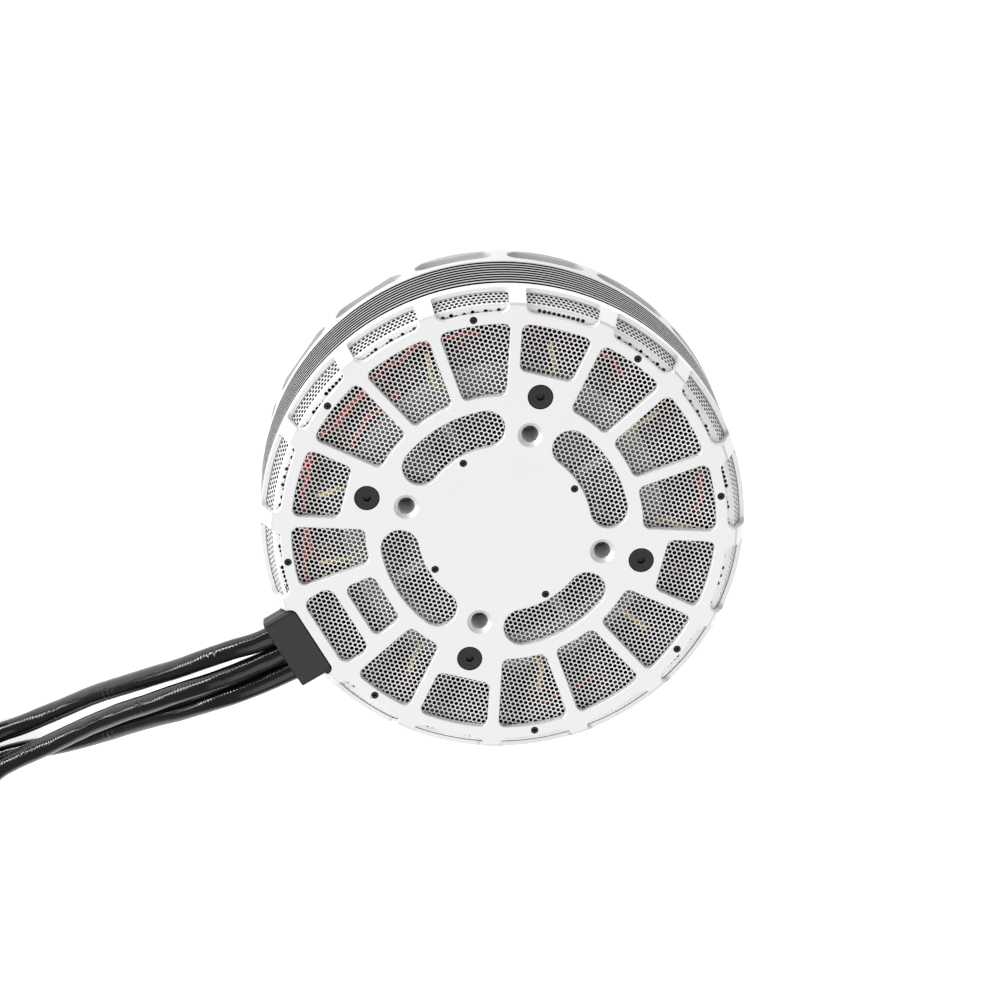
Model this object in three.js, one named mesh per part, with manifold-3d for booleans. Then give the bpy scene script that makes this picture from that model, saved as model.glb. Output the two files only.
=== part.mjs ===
// Brushless outrunner motor with a perforated screen, lying on its rotor, mounting face up.
// Millimetres, +Z up. Origin: middle of the face that it rests on, on the motor's axis.
// The three phase cables leave along -X, lie on the same surface and end in bullet connectors.
import * as THREE from 'three';
import { mergeVertices } from 'three/addons/utils/BufferGeometryUtils.js';
import Module from 'manifold-3d';

const wasm = await Module();
wasm.setup();

// ---- driving dimensions ----
const FACE_Z = 70; // mounting face
const CLEARANCE = 0.3; // gap kept between touching pieces
const OUTER_RADIUS = 96.2; // skirt, rotor band and rotor cap
const FINE = 48; // sides of a large round
const ROUND = 16; // sides of a middling round
const SMALL = 8; // sides of a small round

// mounting plate
const PLATE_THICKNESS = 3;
const FACE_RADIUS = 92.3; // where the rim starts to fall away
const SKIRT_TOP_Z = FACE_Z - 9.5;
const SKIRT_BOTTOM_Z = FACE_Z - 16.5;
const SKIRT_INNER_RADIUS = 94.4;
const SPIGOT_RADIUS = 28;
const SPIGOT_DEPTH = 6;

// openings in the plate
const SECTORS = 16;
const PITCH = 360 / SECTORS;
const WINDOW = { inner: 55, outer: 84, rib: 4.5, corner: 2.8 };
const SHORT_WINDOW_INNER = 64.6; // straight inner edge beside a plate screw
const CLAMP_SIDE_RIB = 10.6; // the ribs beside the cable clamp are wider
const RIM_WINDOW = { inner: 88.5, outer: 99, rib: 6.8, corner: 3.7, depth: 10.3 };
const KIDNEY = { radius: 42, half: 7.45, sweep: 20.8 };
// the window at the clamp is split by a cross rib
const SPLIT_WINDOW = { x0: -83.8, x1: -71.3, half: 15.6, corner: 4 };
const SPLIT_TRAPEZOID = { x0: -66.8, x1: -54.4, wide: 12.2, narrow: 10.6, corner: 3 };

// fastener positions
const PLATE_SCREW_CIRCLE = 56;
const MOUNT_HOLE_CIRCLE = 40;
const MOUNT_HOLE = { radius: 3.4, mouth: 5, chamfer: 1.6, depth: 16 };
const INNER_MESH_SCREW_CIRCLE = 32;
const OUTER_MESH_SCREW_CIRCLE = 86.45;
const MESH_SCREW_RADIUS = 1.38;
const PLATE_SCREW = { head: 4.75, headDepth: 2.3, shank: 2.4, length: 11, socket: 1.75, socketDepth: 1.8 };

// perforated screen under the plate
const SCREEN = { thickness: 0.7, inner: 30, radius: 91, bend: 3.6, bottomZ: FACE_Z - 15.8 };

// stator
const CORE = { inner: 64.3, outer: 85.8, z0: 22, z1: 49, teeth: 36, root: 70, tipDepth: 2 };
const TOOTH_HALF = 2.4;
const TIP_HALF_ANGLE = 4.2;
const LEG_HALF = 2.4; // of the winding in a slot
const HEAD_RISE = 7.5; // how far the end turns stand out of the core
const CARRIER_RING = { inner: 50, outer: 64, z0: 46, z1: 54 };
const CARRIER_ARMS = { spokeHalf: 1.8, armHalf: 7, armRise: 2 };
const PILLAR = { mount: 7.4, screw: 6 }; // radii of the pillars under the holes in the plate
const HUB_TUBE = { outer: 25, bore: 18, bottom: 8.6, top: 63 };

// bearings and shaft
const BEARING = { bore: 10, innerRace: 13.2, outerRace: 17.8, outer: 21, width: 12 };
const BEARING_Z = [9, 50.5]; // lower and upper bearing, lowest point
const SHAFT = { radius: 9.9, flange: 17, flangeZ: 6.3, bottom: 0.5, top: 63.2 };

// rotor
const BAND = { z0: 20, z1: 52.5, inner: 90.3 };
const GROOVE = { count: 8, pitch: 3.68, width: 1.45, depth: 1.8, firstTopZ: FACE_Z - 20.7 };
const MAGNET = { inner: 86.6, outer: 89.6, count: 42 };
const CAP = { wallInner: 88, floor: 5, hub: 40, hubTop: 6, corner: 3 };
const POCKET = { z0: 4.6, z1: 14.6, floorX: 90.2, rib: 5.8 };
const POCKET_TURN = 2.4; // degrees that the pockets are turned from the plate's windows
const CAP_SLOT = { inner: 44, outer: 80, half: 6 };
const CAP_SCREWS = { count: 8, circle: 92.4, head: 2.4, headDepth: 3, shank: 1.4, top: 32 };
const HUB_SCREWS = { count: 4, circle: 13.6, head: 3.5, headDepth: 2, shank: 1.6, top: 8.5 };
const PROP_HOLES = { count: 6, circle: 27, radius: 2.6 };

// cable clamp and cables
const CLAMP = { x0: -102.5, x1: -88.7, half: 15.3, corner: 3, top: 69.6, middle: 64.4, bottom: 59.2 };
const LEAD = { radius: 2.3, drop: 1.2, endX: -82 }; // bare lead inside the clamp
const CABLE_RADIUS = 4.1;
const CABLE_SIDES = 8;
const CABLE_PITCH = 8.4; // centre to centre where they lie side by side
const STRAP = { x: -338, width: 12, thickness: 0.8, clearance: 0.6 };

const silver = { color: 0xe8e8e6, roughness: 0.45, metalness: 0.6 };
const castGrey = { color: 0xc9cacc, roughness: 0.5, metalness: 0.5 };
const laminations = { color: 0x4b4d50, roughness: 0.6, metalness: 0.7 };
const enamel = { color: 0x3a0f0a, roughness: 0.4, metalness: 0.2 };
const bandGrey = { color: 0x77787a, roughness: 0.4, metalness: 0.9 };
const cageBrown = { color: 0x8a6a3a, roughness: 0.5, metalness: 0.2 };
const shrinkBlack = { color: 0x17171a, roughness: 0.6, metalness: 0 };
const strapBlack = { color: 0x1c1c1e, roughness: 0.9, metalness: 0 };
const darkSteel = { color: 0x1d1d1f, roughness: 0.35, metalness: 0.8 };
const steel = { color: 0xb5b7ba, roughness: 0.25, metalness: 1 };
const greyPlastic = { color: 0x36383a, roughness: 0.55, metalness: 0 };
const gold = { color: 0xc9a24a, roughness: 0.3, metalness: 1 };
const blackSleeve = { color: 0x121213, roughness: 0.5, metalness: 0 };

const motor = new THREE.Group();

// ---- solids from three.js geometry ----

function welded(geometry) {
  const bare = geometry.clone();
  bare.deleteAttribute('normal');
  bare.deleteAttribute('uv');
  return mergeVertices(bare, 1e-4);
}

function solid(geometry) {
  const bare = welded(geometry);
  const triVerts = [];
  const index = bare.index.array;
  for (let i = 0; i < index.length; i += 3) {
    const [a, b, c] = index.slice(i, i + 3);
    if (a !== b && b !== c && c !== a) triVerts.push(a, b, c);
  }
  return new wasm.Manifold(new wasm.Mesh({
    numProp: 3,
    vertProperties: new Float32Array(bare.attributes.position.array),
    triVerts: new Uint32Array(triVerts),
  }));
}

function add(name, shape, look) {
  const mesh = shape.getMesh();
  const geometry = new THREE.BufferGeometry();
  geometry.setAttribute('position', new THREE.BufferAttribute(mesh.vertProperties, 3));
  geometry.setIndex(new THREE.BufferAttribute(mesh.triVerts, 1));
  const piece = new THREE.Mesh(geometry, new THREE.MeshStandardMaterial(look));
  piece.name = name;
  motor.add(piece);
}

// a ring or disc turned about Z; the profile [radius, z] runs up the outside and down the inside
function turned(profile, sides = FINE) {
  const points = profile.map(([radius, z]) => new THREE.Vector2(radius, z));
  const onAxis = profile[0][0] === 0 && profile[profile.length - 1][0] === 0;
  if (!onAxis) points.push(points[0].clone());
  return solid(new THREE.LatheGeometry(points, sides).rotateX(Math.PI / 2));
}

function ring(inner, outer, z0, z1, sides = FINE) {
  return turned([[inner, z0], [outer, z0], [outer, z1], [inner, z1]], sides);
}

// a round pin about a vertical line; radii at the bottom and at the top
function pin(radius, z0, z1, [x, y] = [0, 0], sides = ROUND, topRadius = radius) {
  const geometry = new THREE.CylinderGeometry(topRadius, radius, z1 - z0, sides);
  return solid(geometry.rotateX(Math.PI / 2).translate(x, y, (z0 + z1) / 2));
}

// a cone that opens from a shank's radius to its mouth, carried past the surface by an overrun
function countersink(place, surfaceZ, mouth, shank, depth, upwards = 1) {
  const slope = (mouth - shank) / depth;
  const geometry = new THREE.CylinderGeometry(mouth + slope, shank, depth + 1, ROUND);
  geometry.rotateX((upwards * Math.PI) / 2);
  return solid(geometry.translate(...place, surfaceZ + (upwards * (1 - depth)) / 2));
}

function box(x0, x1, y0, y1, z0, z1) {
  const geometry = new THREE.BoxGeometry(x1 - x0, y1 - y0, z1 - z0);
  return solid(geometry.translate((x0 + x1) / 2, (y0 + y1) / 2, (z0 + z1) / 2));
}

function extruded(shape, z0, z1, curveSegments = 1) {
  const geometry = new THREE.ExtrudeGeometry(shape, { depth: z1 - z0, bevelEnabled: false, curveSegments });
  return solid(geometry.translate(0, 0, z0));
}

const rad = THREE.MathUtils.degToRad;

function polar(radius, degrees) {
  return [radius * Math.cos(rad(degrees)), radius * Math.sin(rad(degrees))];
}

function angles(count, first = 0) {
  return Array.from({ length: count }, (_, i) => first + (i * 360) / count);
}

// ---- outlines ----

// A window between two ribs, about the +X direction. Its sides run parallel to the middle lines
// of the ribs, which stand half a pitch to each side. ribs: [rib below, rib above].
function sectorOutline({ inner, outer, ribs, corner, straightInner = false, sharpOuter = false }) {
  const shape = new THREE.Shape();
  const tilt = rad(PITCH / 2);
  const centre = (radius, rib) => {
    const offset = rib / 2 + corner;
    if (!straightInner || radius > inner + corner) {
      const angle = tilt - Math.asin(offset / radius);
      return [radius * Math.cos(angle), radius * Math.sin(angle), angle];
    }
    const along = (radius - offset * Math.sin(tilt)) / Math.cos(tilt);
    return [radius, along * Math.sin(tilt) - offset * Math.cos(tilt), 0];
  };
  const [below, above] = ribs;
  const innerAbove = centre(inner + corner, above);
  const innerBelow = centre(inner + corner, below);
  const side = Math.PI / 2 + tilt;
  let lastCorner = null;
  if (sharpOuter) {
    const outerPoint = (rib) => tilt - Math.asin(rib / 2 / outer);
    shape.absarc(0, 0, outer, -outerPoint(below), outerPoint(above), false);
  } else {
    const outerAbove = centre(outer - corner, above);
    const outerBelow = centre(outer - corner, below);
    shape.absarc(0, 0, outer, -outerBelow[2], outerAbove[2], false);
    shape.absarc(outerAbove[0], outerAbove[1], corner, outerAbove[2], side, false);
    lastCorner = [outerBelow[0], -outerBelow[1], -outerBelow[2]];
  }
  shape.absarc(innerAbove[0], innerAbove[1], corner, side, Math.PI + innerAbove[2], false);
  if (!straightInner) shape.absarc(0, 0, inner, innerAbove[2], -innerBelow[2], true);
  shape.absarc(innerBelow[0], -innerBelow[1], corner, Math.PI - innerBelow[2], 2 * Math.PI - side, false);
  if (lastCorner) {
    const [x, y, angle] = lastCorner;
    shape.absarc(x, y, corner, -side, angle, false);
  }
  return shape;
}

function roundedRectangle(x0, x1, y0, y1, radius) {
  const shape = new THREE.Shape();
  shape.absarc(x1 - radius, y0 + radius, radius, -Math.PI / 2, 0, false);
  shape.absarc(x1 - radius, y1 - radius, radius, 0, Math.PI / 2, false);
  shape.absarc(x0 + radius, y1 - radius, radius, Math.PI / 2, Math.PI, false);
  shape.absarc(x0 + radius, y0 + radius, radius, Math.PI, 1.5 * Math.PI, false);
  return shape;
}

// a slot bent along a circle, with round ends, about the +X direction
function kidneyOutline() {
  const { radius, half, sweep } = KIDNEY;
  const shape = new THREE.Shape();
  const end = rad(sweep);
  shape.absarc(0, 0, radius + half, -end, end, false);
  shape.absarc(...polar(radius, sweep), half, end, end + Math.PI, false);
  shape.absarc(0, 0, radius - half, end, -end, true);
  shape.absarc(...polar(radius, -sweep), half, Math.PI - end, 2 * Math.PI - end, false);
  return shape;
}

function slotOutline(inner, outer, half) {
  const shape = new THREE.Shape();
  shape.absarc(outer - half, 0, half, -Math.PI / 2, Math.PI / 2, false);
  shape.absarc(inner + half, 0, half, Math.PI / 2, 1.5 * Math.PI, false);
  return shape;
}

// ---- mounting plate ----

function facePart(shape, degrees, curveSegments = 1) {
  return extruded(shape, FACE_Z - PLATE_THICKNESS - 1, FACE_Z + 1, curveSegments).rotate([0, 0, degrees]);
}

function faceWindows() {
  const cuts = [];
  for (const degrees of angles(SECTORS)) {
    if (degrees === 180) continue;
    const besideScrew = degrees % 90 === 45;
    cuts.push(facePart(sectorOutline({
      inner: besideScrew ? SHORT_WINDOW_INNER : WINDOW.inner,
      outer: WINDOW.outer,
      ribs: [
        degrees === 180 + PITCH ? CLAMP_SIDE_RIB : WINDOW.rib,
        degrees === 180 - PITCH ? CLAMP_SIDE_RIB : WINDOW.rib,
      ],
      corner: WINDOW.corner,
      straightInner: besideScrew,
    }), degrees));
  }
  const { x0, x1, half, corner } = SPLIT_WINDOW;
  cuts.push(facePart(roundedRectangle(x0, x1, -half, half, corner), 0));
  cuts.push(facePart(splitTrapezoid(), 0));
  for (const degrees of angles(4)) cuts.push(facePart(kidneyOutline(), degrees, 2));
  return cuts;
}

// the inner half of the split window: parallel ends and slightly converging sides
function splitTrapezoid() {
  const { x0, x1, wide, narrow, corner } = SPLIT_TRAPEZOID;
  const shape = new THREE.Shape();
  shape.absarc(x1 - corner, -narrow + corner, corner, -Math.PI / 2, 0, false);
  shape.absarc(x1 - corner, narrow - corner, corner, 0, Math.PI / 2, false);
  shape.absarc(x0 + corner, wide - corner, corner, Math.PI / 2, Math.PI, false);
  shape.absarc(x0 + corner, -wide + corner, corner, Math.PI, 1.5 * Math.PI, false);
  return shape;
}

function rimWindows() {
  const outline = sectorOutline({
    inner: RIM_WINDOW.inner,
    outer: RIM_WINDOW.outer,
    ribs: [RIM_WINDOW.rib, RIM_WINDOW.rib],
    corner: RIM_WINDOW.corner,
    sharpOuter: true,
  });
  const cutter = extruded(outline, FACE_Z - RIM_WINDOW.depth, FACE_Z + 1);
  return angles(SECTORS)
    .filter((degrees) => degrees !== 180)
    .map((degrees) => cutter.rotate([0, 0, degrees]));
}

function plateHoles() {
  const under = FACE_Z - PLATE_THICKNESS - 1;
  const cuts = [];
  for (const degrees of angles(4, 45)) {
    const mount = polar(MOUNT_HOLE_CIRCLE, degrees);
    cuts.push(pin(MOUNT_HOLE.radius, under, FACE_Z + 1, mount));
    cuts.push(countersink(mount, FACE_Z, MOUNT_HOLE.mouth, MOUNT_HOLE.radius, MOUNT_HOLE.chamfer));
    const screw = polar(PLATE_SCREW_CIRCLE, degrees);
    const { head, headDepth, shank } = PLATE_SCREW;
    cuts.push(pin(shank + CLEARANCE, under, FACE_Z + 1, screw));
    cuts.push(countersink(screw, FACE_Z, head + CLEARANCE, shank + CLEARANCE, headDepth));
  }
  for (const place of meshScrewPlaces()) {
    cuts.push(pin(MESH_SCREW_RADIUS + 0.15, under, FACE_Z + 1, place, SMALL));
  }
  return cuts;
}

function meshScrewPlaces() {
  const inner = angles(4).map((degrees) => polar(INNER_MESH_SCREW_CIRCLE, degrees));
  const outer = angles(8, PITCH).map((degrees) => polar(OUTER_MESH_SCREW_CIRCLE, degrees));
  return [...inner, ...outer];
}

function mountPlate() {
  const under = FACE_Z - PLATE_THICKNESS;
  const body = turned([
    [0, FACE_Z - SPIGOT_DEPTH],
    [SPIGOT_RADIUS, FACE_Z - SPIGOT_DEPTH],
    [SPIGOT_RADIUS, under],
    [91.8, under],
    [SKIRT_INNER_RADIUS, SKIRT_TOP_Z - 1],
    [SKIRT_INNER_RADIUS, SKIRT_BOTTOM_Z],
    [OUTER_RADIUS, SKIRT_BOTTOM_Z],
    [OUTER_RADIUS, SKIRT_TOP_Z],
    [FACE_RADIUS, FACE_Z],
    [0, FACE_Z],
  ]);
  const seatHalf = CLAMP.half + CLEARANCE;
  const seat = roundedRectangle(CLAMP.x0 - 8, CLAMP.x1 + CLEARANCE, -seatHalf, seatHalf, CLAMP.corner);
  const clampSeat = extruded(seat, CLAMP.bottom - CLEARANCE, FACE_Z + 1);
  return cutBy(body, [...faceWindows(), ...rimWindows(), ...plateHoles(), clampSeat]);
}

function cutBy(body, cutters) {
  return cutters.reduce((rest, cutter) => rest.subtract(cutter), body);
}

add('mount_plate', mountPlate(), silver);

// ---- perforated screen: a flat disc, a rounded edge and a cylindrical flange ----

function meshScreen() {
  const top = FACE_Z - PLATE_THICKNESS - CLEARANCE;
  const { thickness, inner, radius, bend, bottomZ } = SCREEN;
  const bendPoint = (r, degrees) => {
    const [across, up] = polar(r, degrees);
    return [radius - bend + across, top - bend + up];
  };
  const body = turned([
    [inner, top - thickness],
    [radius - bend, top - thickness],
    bendPoint(bend - thickness, 0),
    [radius - thickness, bottomZ],
    [radius, bottomZ],
    bendPoint(bend, 0),
    bendPoint(bend, 45),
    bendPoint(bend, 90),
    [inner, top],
  ]);
  const holes = angles(4, 45).flatMap((degrees) => [
    pin(MOUNT_HOLE.mouth, top - 2, FACE_Z, polar(MOUNT_HOLE_CIRCLE, degrees), SMALL),
    pin(PLATE_SCREW.shank + 1, top - 2, FACE_Z, polar(PLATE_SCREW_CIRCLE, degrees), SMALL),
  ]);
  const leads = box(-100, -86, -CLAMP.half, CLAMP.half, CLAMP.bottom - 1, CLAMP.top);
  return cutBy(body, [...holes, leads]);
}

add('mesh_screen', meshScreen(), silver);

// ---- stator carrier: bearing tube, arms and ring, with pillars for the screws ----

function statorCarrier() {
  const under = FACE_Z - PLATE_THICKNESS - SCREEN.thickness - 2 * CLEARANCE;
  const { outer, bore, bottom, top } = HUB_TUBE;
  const { inner: ringInner, outer: ringOuter, z0, z1 } = CARRIER_RING;
  const { spokeHalf, armHalf, armRise } = CARRIER_ARMS;
  const seat = BEARING.outer;
  const [lowerZ, upperZ] = BEARING_Z;
  const tube = turned([
    [seat, bottom],
    [outer, bottom],
    [outer, top],
    [seat, top],
    [seat, upperZ - CLEARANCE],
    [bore, upperZ - CLEARANCE],
    [bore, lowerZ + BEARING.width + CLEARANCE],
    [seat, lowerZ + BEARING.width + CLEARANCE],
  ], 32);
  let carrier = tube.add(ring(ringInner, ringOuter, z0, z1, 32));
  for (const degrees of angles(4)) {
    const spoke = box(outer - 1, ringInner + 1, -spokeHalf, spokeHalf, z0, z1);
    carrier = carrier.add(spoke.rotate([0, 0, degrees]));
  }
  const screwHoleBottom = FACE_Z - PLATE_SCREW.length - 1;
  for (const degrees of angles(4, 45)) {
    const arm = box(outer - 1, ringInner + 1, -armHalf, armHalf, z0, z1 + armRise);
    const mount = polar(MOUNT_HOLE_CIRCLE, degrees);
    const screw = polar(PLATE_SCREW_CIRCLE, degrees);
    carrier = carrier
      .add(arm.rotate([0, 0, degrees]))
      .add(pin(PILLAR.mount, z0, under, mount, SMALL))
      .add(pin(PILLAR.screw, z0, under, screw, SMALL))
      .subtract(pin(MOUNT_HOLE.radius, FACE_Z - MOUNT_HOLE.depth, FACE_Z, mount))
      .subtract(pin(PLATE_SCREW.shank + CLEARANCE, screwHoleBottom, FACE_Z, screw, SMALL));
  }
  return carrier;
}

add('stator_carrier', statorCarrier(), castGrey);

// ---- stator core: a laminated ring with teeth pointing outwards ----

function statorCore() {
  const { inner, outer, z0, z1, teeth, root, tipDepth } = CORE;
  const flank = THREE.MathUtils.radToDeg(Math.asin(TOOTH_HALF / root));
  const neck = THREE.MathUtils.radToDeg(Math.asin(TOOTH_HALF / (outer - tipDepth)));
  const points = angles(teeth).flatMap((degrees) => {
    return [
      polar(root, degrees - flank),
      polar(outer - tipDepth, degrees - neck),
      polar(outer, degrees - TIP_HALF_ANGLE),
      polar(outer, degrees + TIP_HALF_ANGLE),
      polar(outer - tipDepth, degrees + neck),
      polar(root, degrees + flank),
    ];
  });
  const shape = new THREE.Shape(points.map(([x, y]) => new THREE.Vector2(x, y)));
  return extruded(shape, z0, z1).subtract(pin(inner, z0 - 1, z1 + 1, [0, 0], teeth));
}

add('stator_core', statorCore(), laminations);

// ---- stator winding: end turns above and below the core, joined by legs in the slots ----

function statorWinding() {
  const { root, outer, z0, z1, teeth } = CORE;
  const [inside, outside] = [root - 3, outer - 3.4];
  const head = (near, far) => {
    const rounding = Math.sign(far - near) * 2.5;
    const profile = [
      [inside, near],
      [outside, near],
      [outside, far - rounding],
      [outside - 3, far],
      [inside + 3, far],
      [inside, far - rounding],
    ];
    return turned(far > near ? profile : profile.reverse(), teeth);
  };
  let winding = head(z1 + CLEARANCE, z1 + HEAD_RISE).add(head(z0 - CLEARANCE, z0 - HEAD_RISE));
  for (const degrees of angles(teeth, 180 / teeth)) {
    const leg = box(root + 1.5, outside - 0.5, -LEG_HALF, LEG_HALF, z0 - 1, z1 + 1);
    winding = winding.add(leg.rotate([0, 0, degrees]));
  }
  return winding;
}

add('stator_winding', statorWinding(), enamel);

// ---- bearings ----

BEARING_Z.forEach((z, i) => {
  const level = ['lower', 'upper'][i];
  const top = z + BEARING.width;
  const { bore, innerRace, outerRace, outer } = BEARING;
  const cage = ring(innerRace + 0.4, outerRace - 0.4, z + 2, top - 2, 20);
  add(`bearing_inner_${level}`, ring(bore + 0.1, innerRace, z, top, 20), steel);
  add(`bearing_outer_${level}`, ring(outerRace, outer - 0.2, z, top, 20), steel);
  add(`bearing_cage_${level}`, cage, cageBrown);
});

// ---- screws in the plate ----

angles(4, 45).forEach((degrees, i) => {
  const place = polar(PLATE_SCREW_CIRCLE, degrees);
  const { head, headDepth, shank, length, socket, socketDepth } = PLATE_SCREW;
  const top = FACE_Z - 0.15;
  const screw = pin(shank, top - headDepth, top, place, ROUND, head)
    .add(pin(shank, FACE_Z - length, top - headDepth / 2, place, SMALL))
    .subtract(pin(socket, top - socketDepth, top + 1, place, 6));
  add(`plate_screw_${i + 1}`, screw, darkSteel);
});

meshScrewPlaces().forEach((place, i) => {
  const name = i < 4 ? `mesh_screw_inner_${i + 1}` : `mesh_screw_outer_${i - 3}`;
  const screw = pin(MESH_SCREW_RADIUS, FACE_Z - PLATE_THICKNESS + 0.2, FACE_Z - 0.15, place, SMALL);
  add(name, screw, darkSteel);
});

// ---- rotor: finned band, magnets, cap and shaft ----

function capScrewPlaces() {
  const { count, circle } = CAP_SCREWS;
  return angles(count, PITCH / 2 + POCKET_TURN).map((degrees) => polar(circle, degrees));
}

function fluxRing() {
  const profile = [[BAND.inner, BAND.z0], [OUTER_RADIUS, BAND.z0]];
  for (let i = GROOVE.count - 1; i >= 0; i -= 1) {
    const top = GROOVE.firstTopZ - i * GROOVE.pitch;
    const bottom = top - GROOVE.width;
    profile.push([OUTER_RADIUS, bottom]);
    profile.push([OUTER_RADIUS - GROOVE.depth, (top + bottom) / 2]);
    profile.push([OUTER_RADIUS, top]);
  }
  profile.push([OUTER_RADIUS, BAND.z1], [BAND.inner, BAND.z1]);
  const holes = capScrewPlaces().map((place) => (
    pin(CAP_SCREWS.shank + 0.25, BAND.z0 - 1, CAP_SCREWS.top + 1, place, SMALL)));
  return cutBy(turned(profile, 32), holes);
}

function rotorCap() {
  const top = BAND.z0 - CLEARANCE;
  const { wallInner, floor, hub, hubTop, corner } = CAP;
  const rounding = [0, 45, 90].map((degrees) => {
    const [across, up] = polar(corner, degrees - 90);
    return [OUTER_RADIUS - corner + across, corner + up];
  });
  const body = turned([
    [SHAFT.radius + CLEARANCE, 0],
    ...rounding,
    [OUTER_RADIUS, top],
    [BAND.inner, top],
    [wallInner, top - 3],
    [wallInner, floor],
    [hub + 2, floor],
    [hub, hubTop],
    [SHAFT.radius + CLEARANCE, hubTop],
  ]);
  const cuts = angles(SECTORS, POCKET_TURN).map(capPocket);
  for (const degrees of angles(SECTORS, POCKET_TURN)) {
    const outline = slotOutline(CAP_SLOT.inner, CAP_SLOT.outer, CAP_SLOT.half);
    cuts.push(extruded(outline, -1, floor + 1, 2).rotate([0, 0, degrees]));
  }
  for (const place of capScrewPlaces()) {
    cuts.push(pin(CAP_SCREWS.shank + 0.25, -1, top + 1, place, SMALL));
    cuts.push(pin(CAP_SCREWS.head + 0.2, -1, CAP_SCREWS.headDepth + 0.5, place, SMALL));
  }
  for (const place of hubScrewPlaces()) {
    cuts.push(pin(HUB_SCREWS.shank + 0.25, -1, hubTop + 1, place, SMALL));
    cuts.push(countersink(place, 0, HUB_SCREWS.head + 0.2, HUB_SCREWS.shank + 0.2, HUB_SCREWS.headDepth, -1));
  }
  for (const degrees of angles(PROP_HOLES.count)) {
    cuts.push(pin(PROP_HOLES.radius, -1, hubTop + 1, polar(PROP_HOLES.circle, degrees), SMALL));
  }
  return cutBy(body, cuts);
}

// a blind, round-ended pocket in the cap's side wall
function capPocket(degrees) {
  const { z0, z1, floorX, rib } = POCKET;
  const halfHeight = (z1 - z0) / 2;
  const halfLength = OUTER_RADIUS * Math.sin(rad(PITCH / 2)) - rib / 2;
  const outline = roundedRectangle(-halfHeight, halfHeight, -halfLength, halfLength, halfHeight - 0.1);
  const geometry = new THREE.ExtrudeGeometry(outline, { depth: 20, bevelEnabled: false, curveSegments: 1 });
  geometry.rotateY(Math.PI / 2).translate(floorX, 0, (z0 + z1) / 2);
  return solid(geometry).rotate([0, 0, degrees]);
}

function hubScrewPlaces() {
  return angles(HUB_SCREWS.count, 45).map((degrees) => polar(HUB_SCREWS.circle, degrees));
}

function shaft() {
  const { radius, flange, flangeZ, bottom, top } = SHAFT;
  const body = turned([
    [0, bottom],
    [radius, bottom],
    [radius, flangeZ],
    [flange, flangeZ],
    [flange, BEARING_Z[0] - CLEARANCE],
    [radius, BEARING_Z[0] - CLEARANCE],
    [radius, top],
    [0, top],
  ], 20);
  const holes = hubScrewPlaces().map((place) => pin(HUB_SCREWS.shank + 0.25, 0, BEARING_Z[0], place, SMALL));
  return cutBy(body, holes);
}

add('flux_ring', fluxRing(), bandGrey);
add('magnet_ring', ring(MAGNET.inner, MAGNET.outer, BAND.z0 + 0.5, BAND.z1 - 4, MAGNET.count), steel);
add('rotor_cap', rotorCap(), silver);
add('shaft', shaft(), steel);

const circlipZ = BEARING_Z[1] + BEARING.width;
add('shaft_circlip', ring(SHAFT.radius + 0.4, 12, circlipZ + 0.05, SHAFT.top - 0.05, ROUND), darkSteel);

capScrewPlaces().forEach((place, i) => {
  const { head, headDepth, shank, top } = CAP_SCREWS;
  const screw = pin(head, 0.3, headDepth, place, SMALL).add(pin(shank, headDepth - 1, top, place, SMALL));
  add(`cap_screw_${i + 1}`, screw, darkSteel);
});

hubScrewPlaces().forEach((place, i) => {
  const { head, headDepth, shank, top } = HUB_SCREWS;
  const screw = pin(head - 0.2, 0.2, headDepth, place, SMALL, shank).add(pin(shank, 1, top, place, SMALL));
  add(`hub_screw_${i + 1}`, screw, darkSteel);
});

// ---- cable clamp in two halves, with the leads inside it ----

const CABLE_Y = [CABLE_PITCH, 0, -CABLE_PITCH];

function clampHalf(z0, z1) {
  const { x0, x1, half, corner, middle } = CLAMP;
  const outline = new THREE.Shape();
  outline.moveTo(x0, -half);
  outline.absarc(x1 - corner, -half + corner, corner, -Math.PI / 2, 0, false);
  outline.absarc(x1 - corner, half - corner, corner, 0, Math.PI / 2, false);
  outline.lineTo(x0, half);
  const bores = CABLE_Y.map((y) => {
    const bore = new THREE.CylinderGeometry(CABLE_RADIUS + 0.1, CABLE_RADIUS + 0.1, 30, ROUND);
    return solid(bore.rotateZ(Math.PI / 2).translate((x0 + x1) / 2, y, middle));
  });
  return cutBy(extruded(outline, z0, z1), bores);
}

add('cable_clamp_upper', clampHalf(CLAMP.middle + CLEARANCE / 2, CLAMP.top), greyPlastic);
add('cable_clamp_lower', clampHalf(CLAMP.bottom, CLAMP.middle - CLEARANCE / 2), greyPlastic);

CABLE_Y.forEach((y, i) => {
  const { radius, drop, endX } = LEAD;
  const lead = new THREE.CylinderGeometry(radius, radius, endX - CLAMP.x0, CABLE_SIDES);
  lead.rotateZ(Math.PI / 2).translate((CLAMP.x0 + endX) / 2, y, CLAMP.middle - drop);
  add(`phase_lead_${i + 1}`, solid(lead), blackSleeve);
});

// ---- phase cables: from the clamp to the surface, round a loop and back under a strap ----

const FLOOR_Z = 4.3; // centre of a cable lying on the surface
const STRAP_Z = 5.6; // centre of a cable lying on the strap
const RUN_Y = [14.3, -5.3, 4.5]; // outgoing runs of the three cables in the hank
const LOOP = { startX: -360, radius: 37, swing: 37, runMiddle: 4.5, middleY: 19.2, steps: 18 };
const END_Z = 5.4; // centre of a cable's end, lying on its heat-shrink sleeve
const CONNECTOR = { barrel: 3.9, barrelLength: 12, collar: 4.3, collarWidth: 2, tip: 3, length: 27 };
const HEAT_SHRINK = { inner: 4.6, outer: 5.15, length: 22 };

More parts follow.
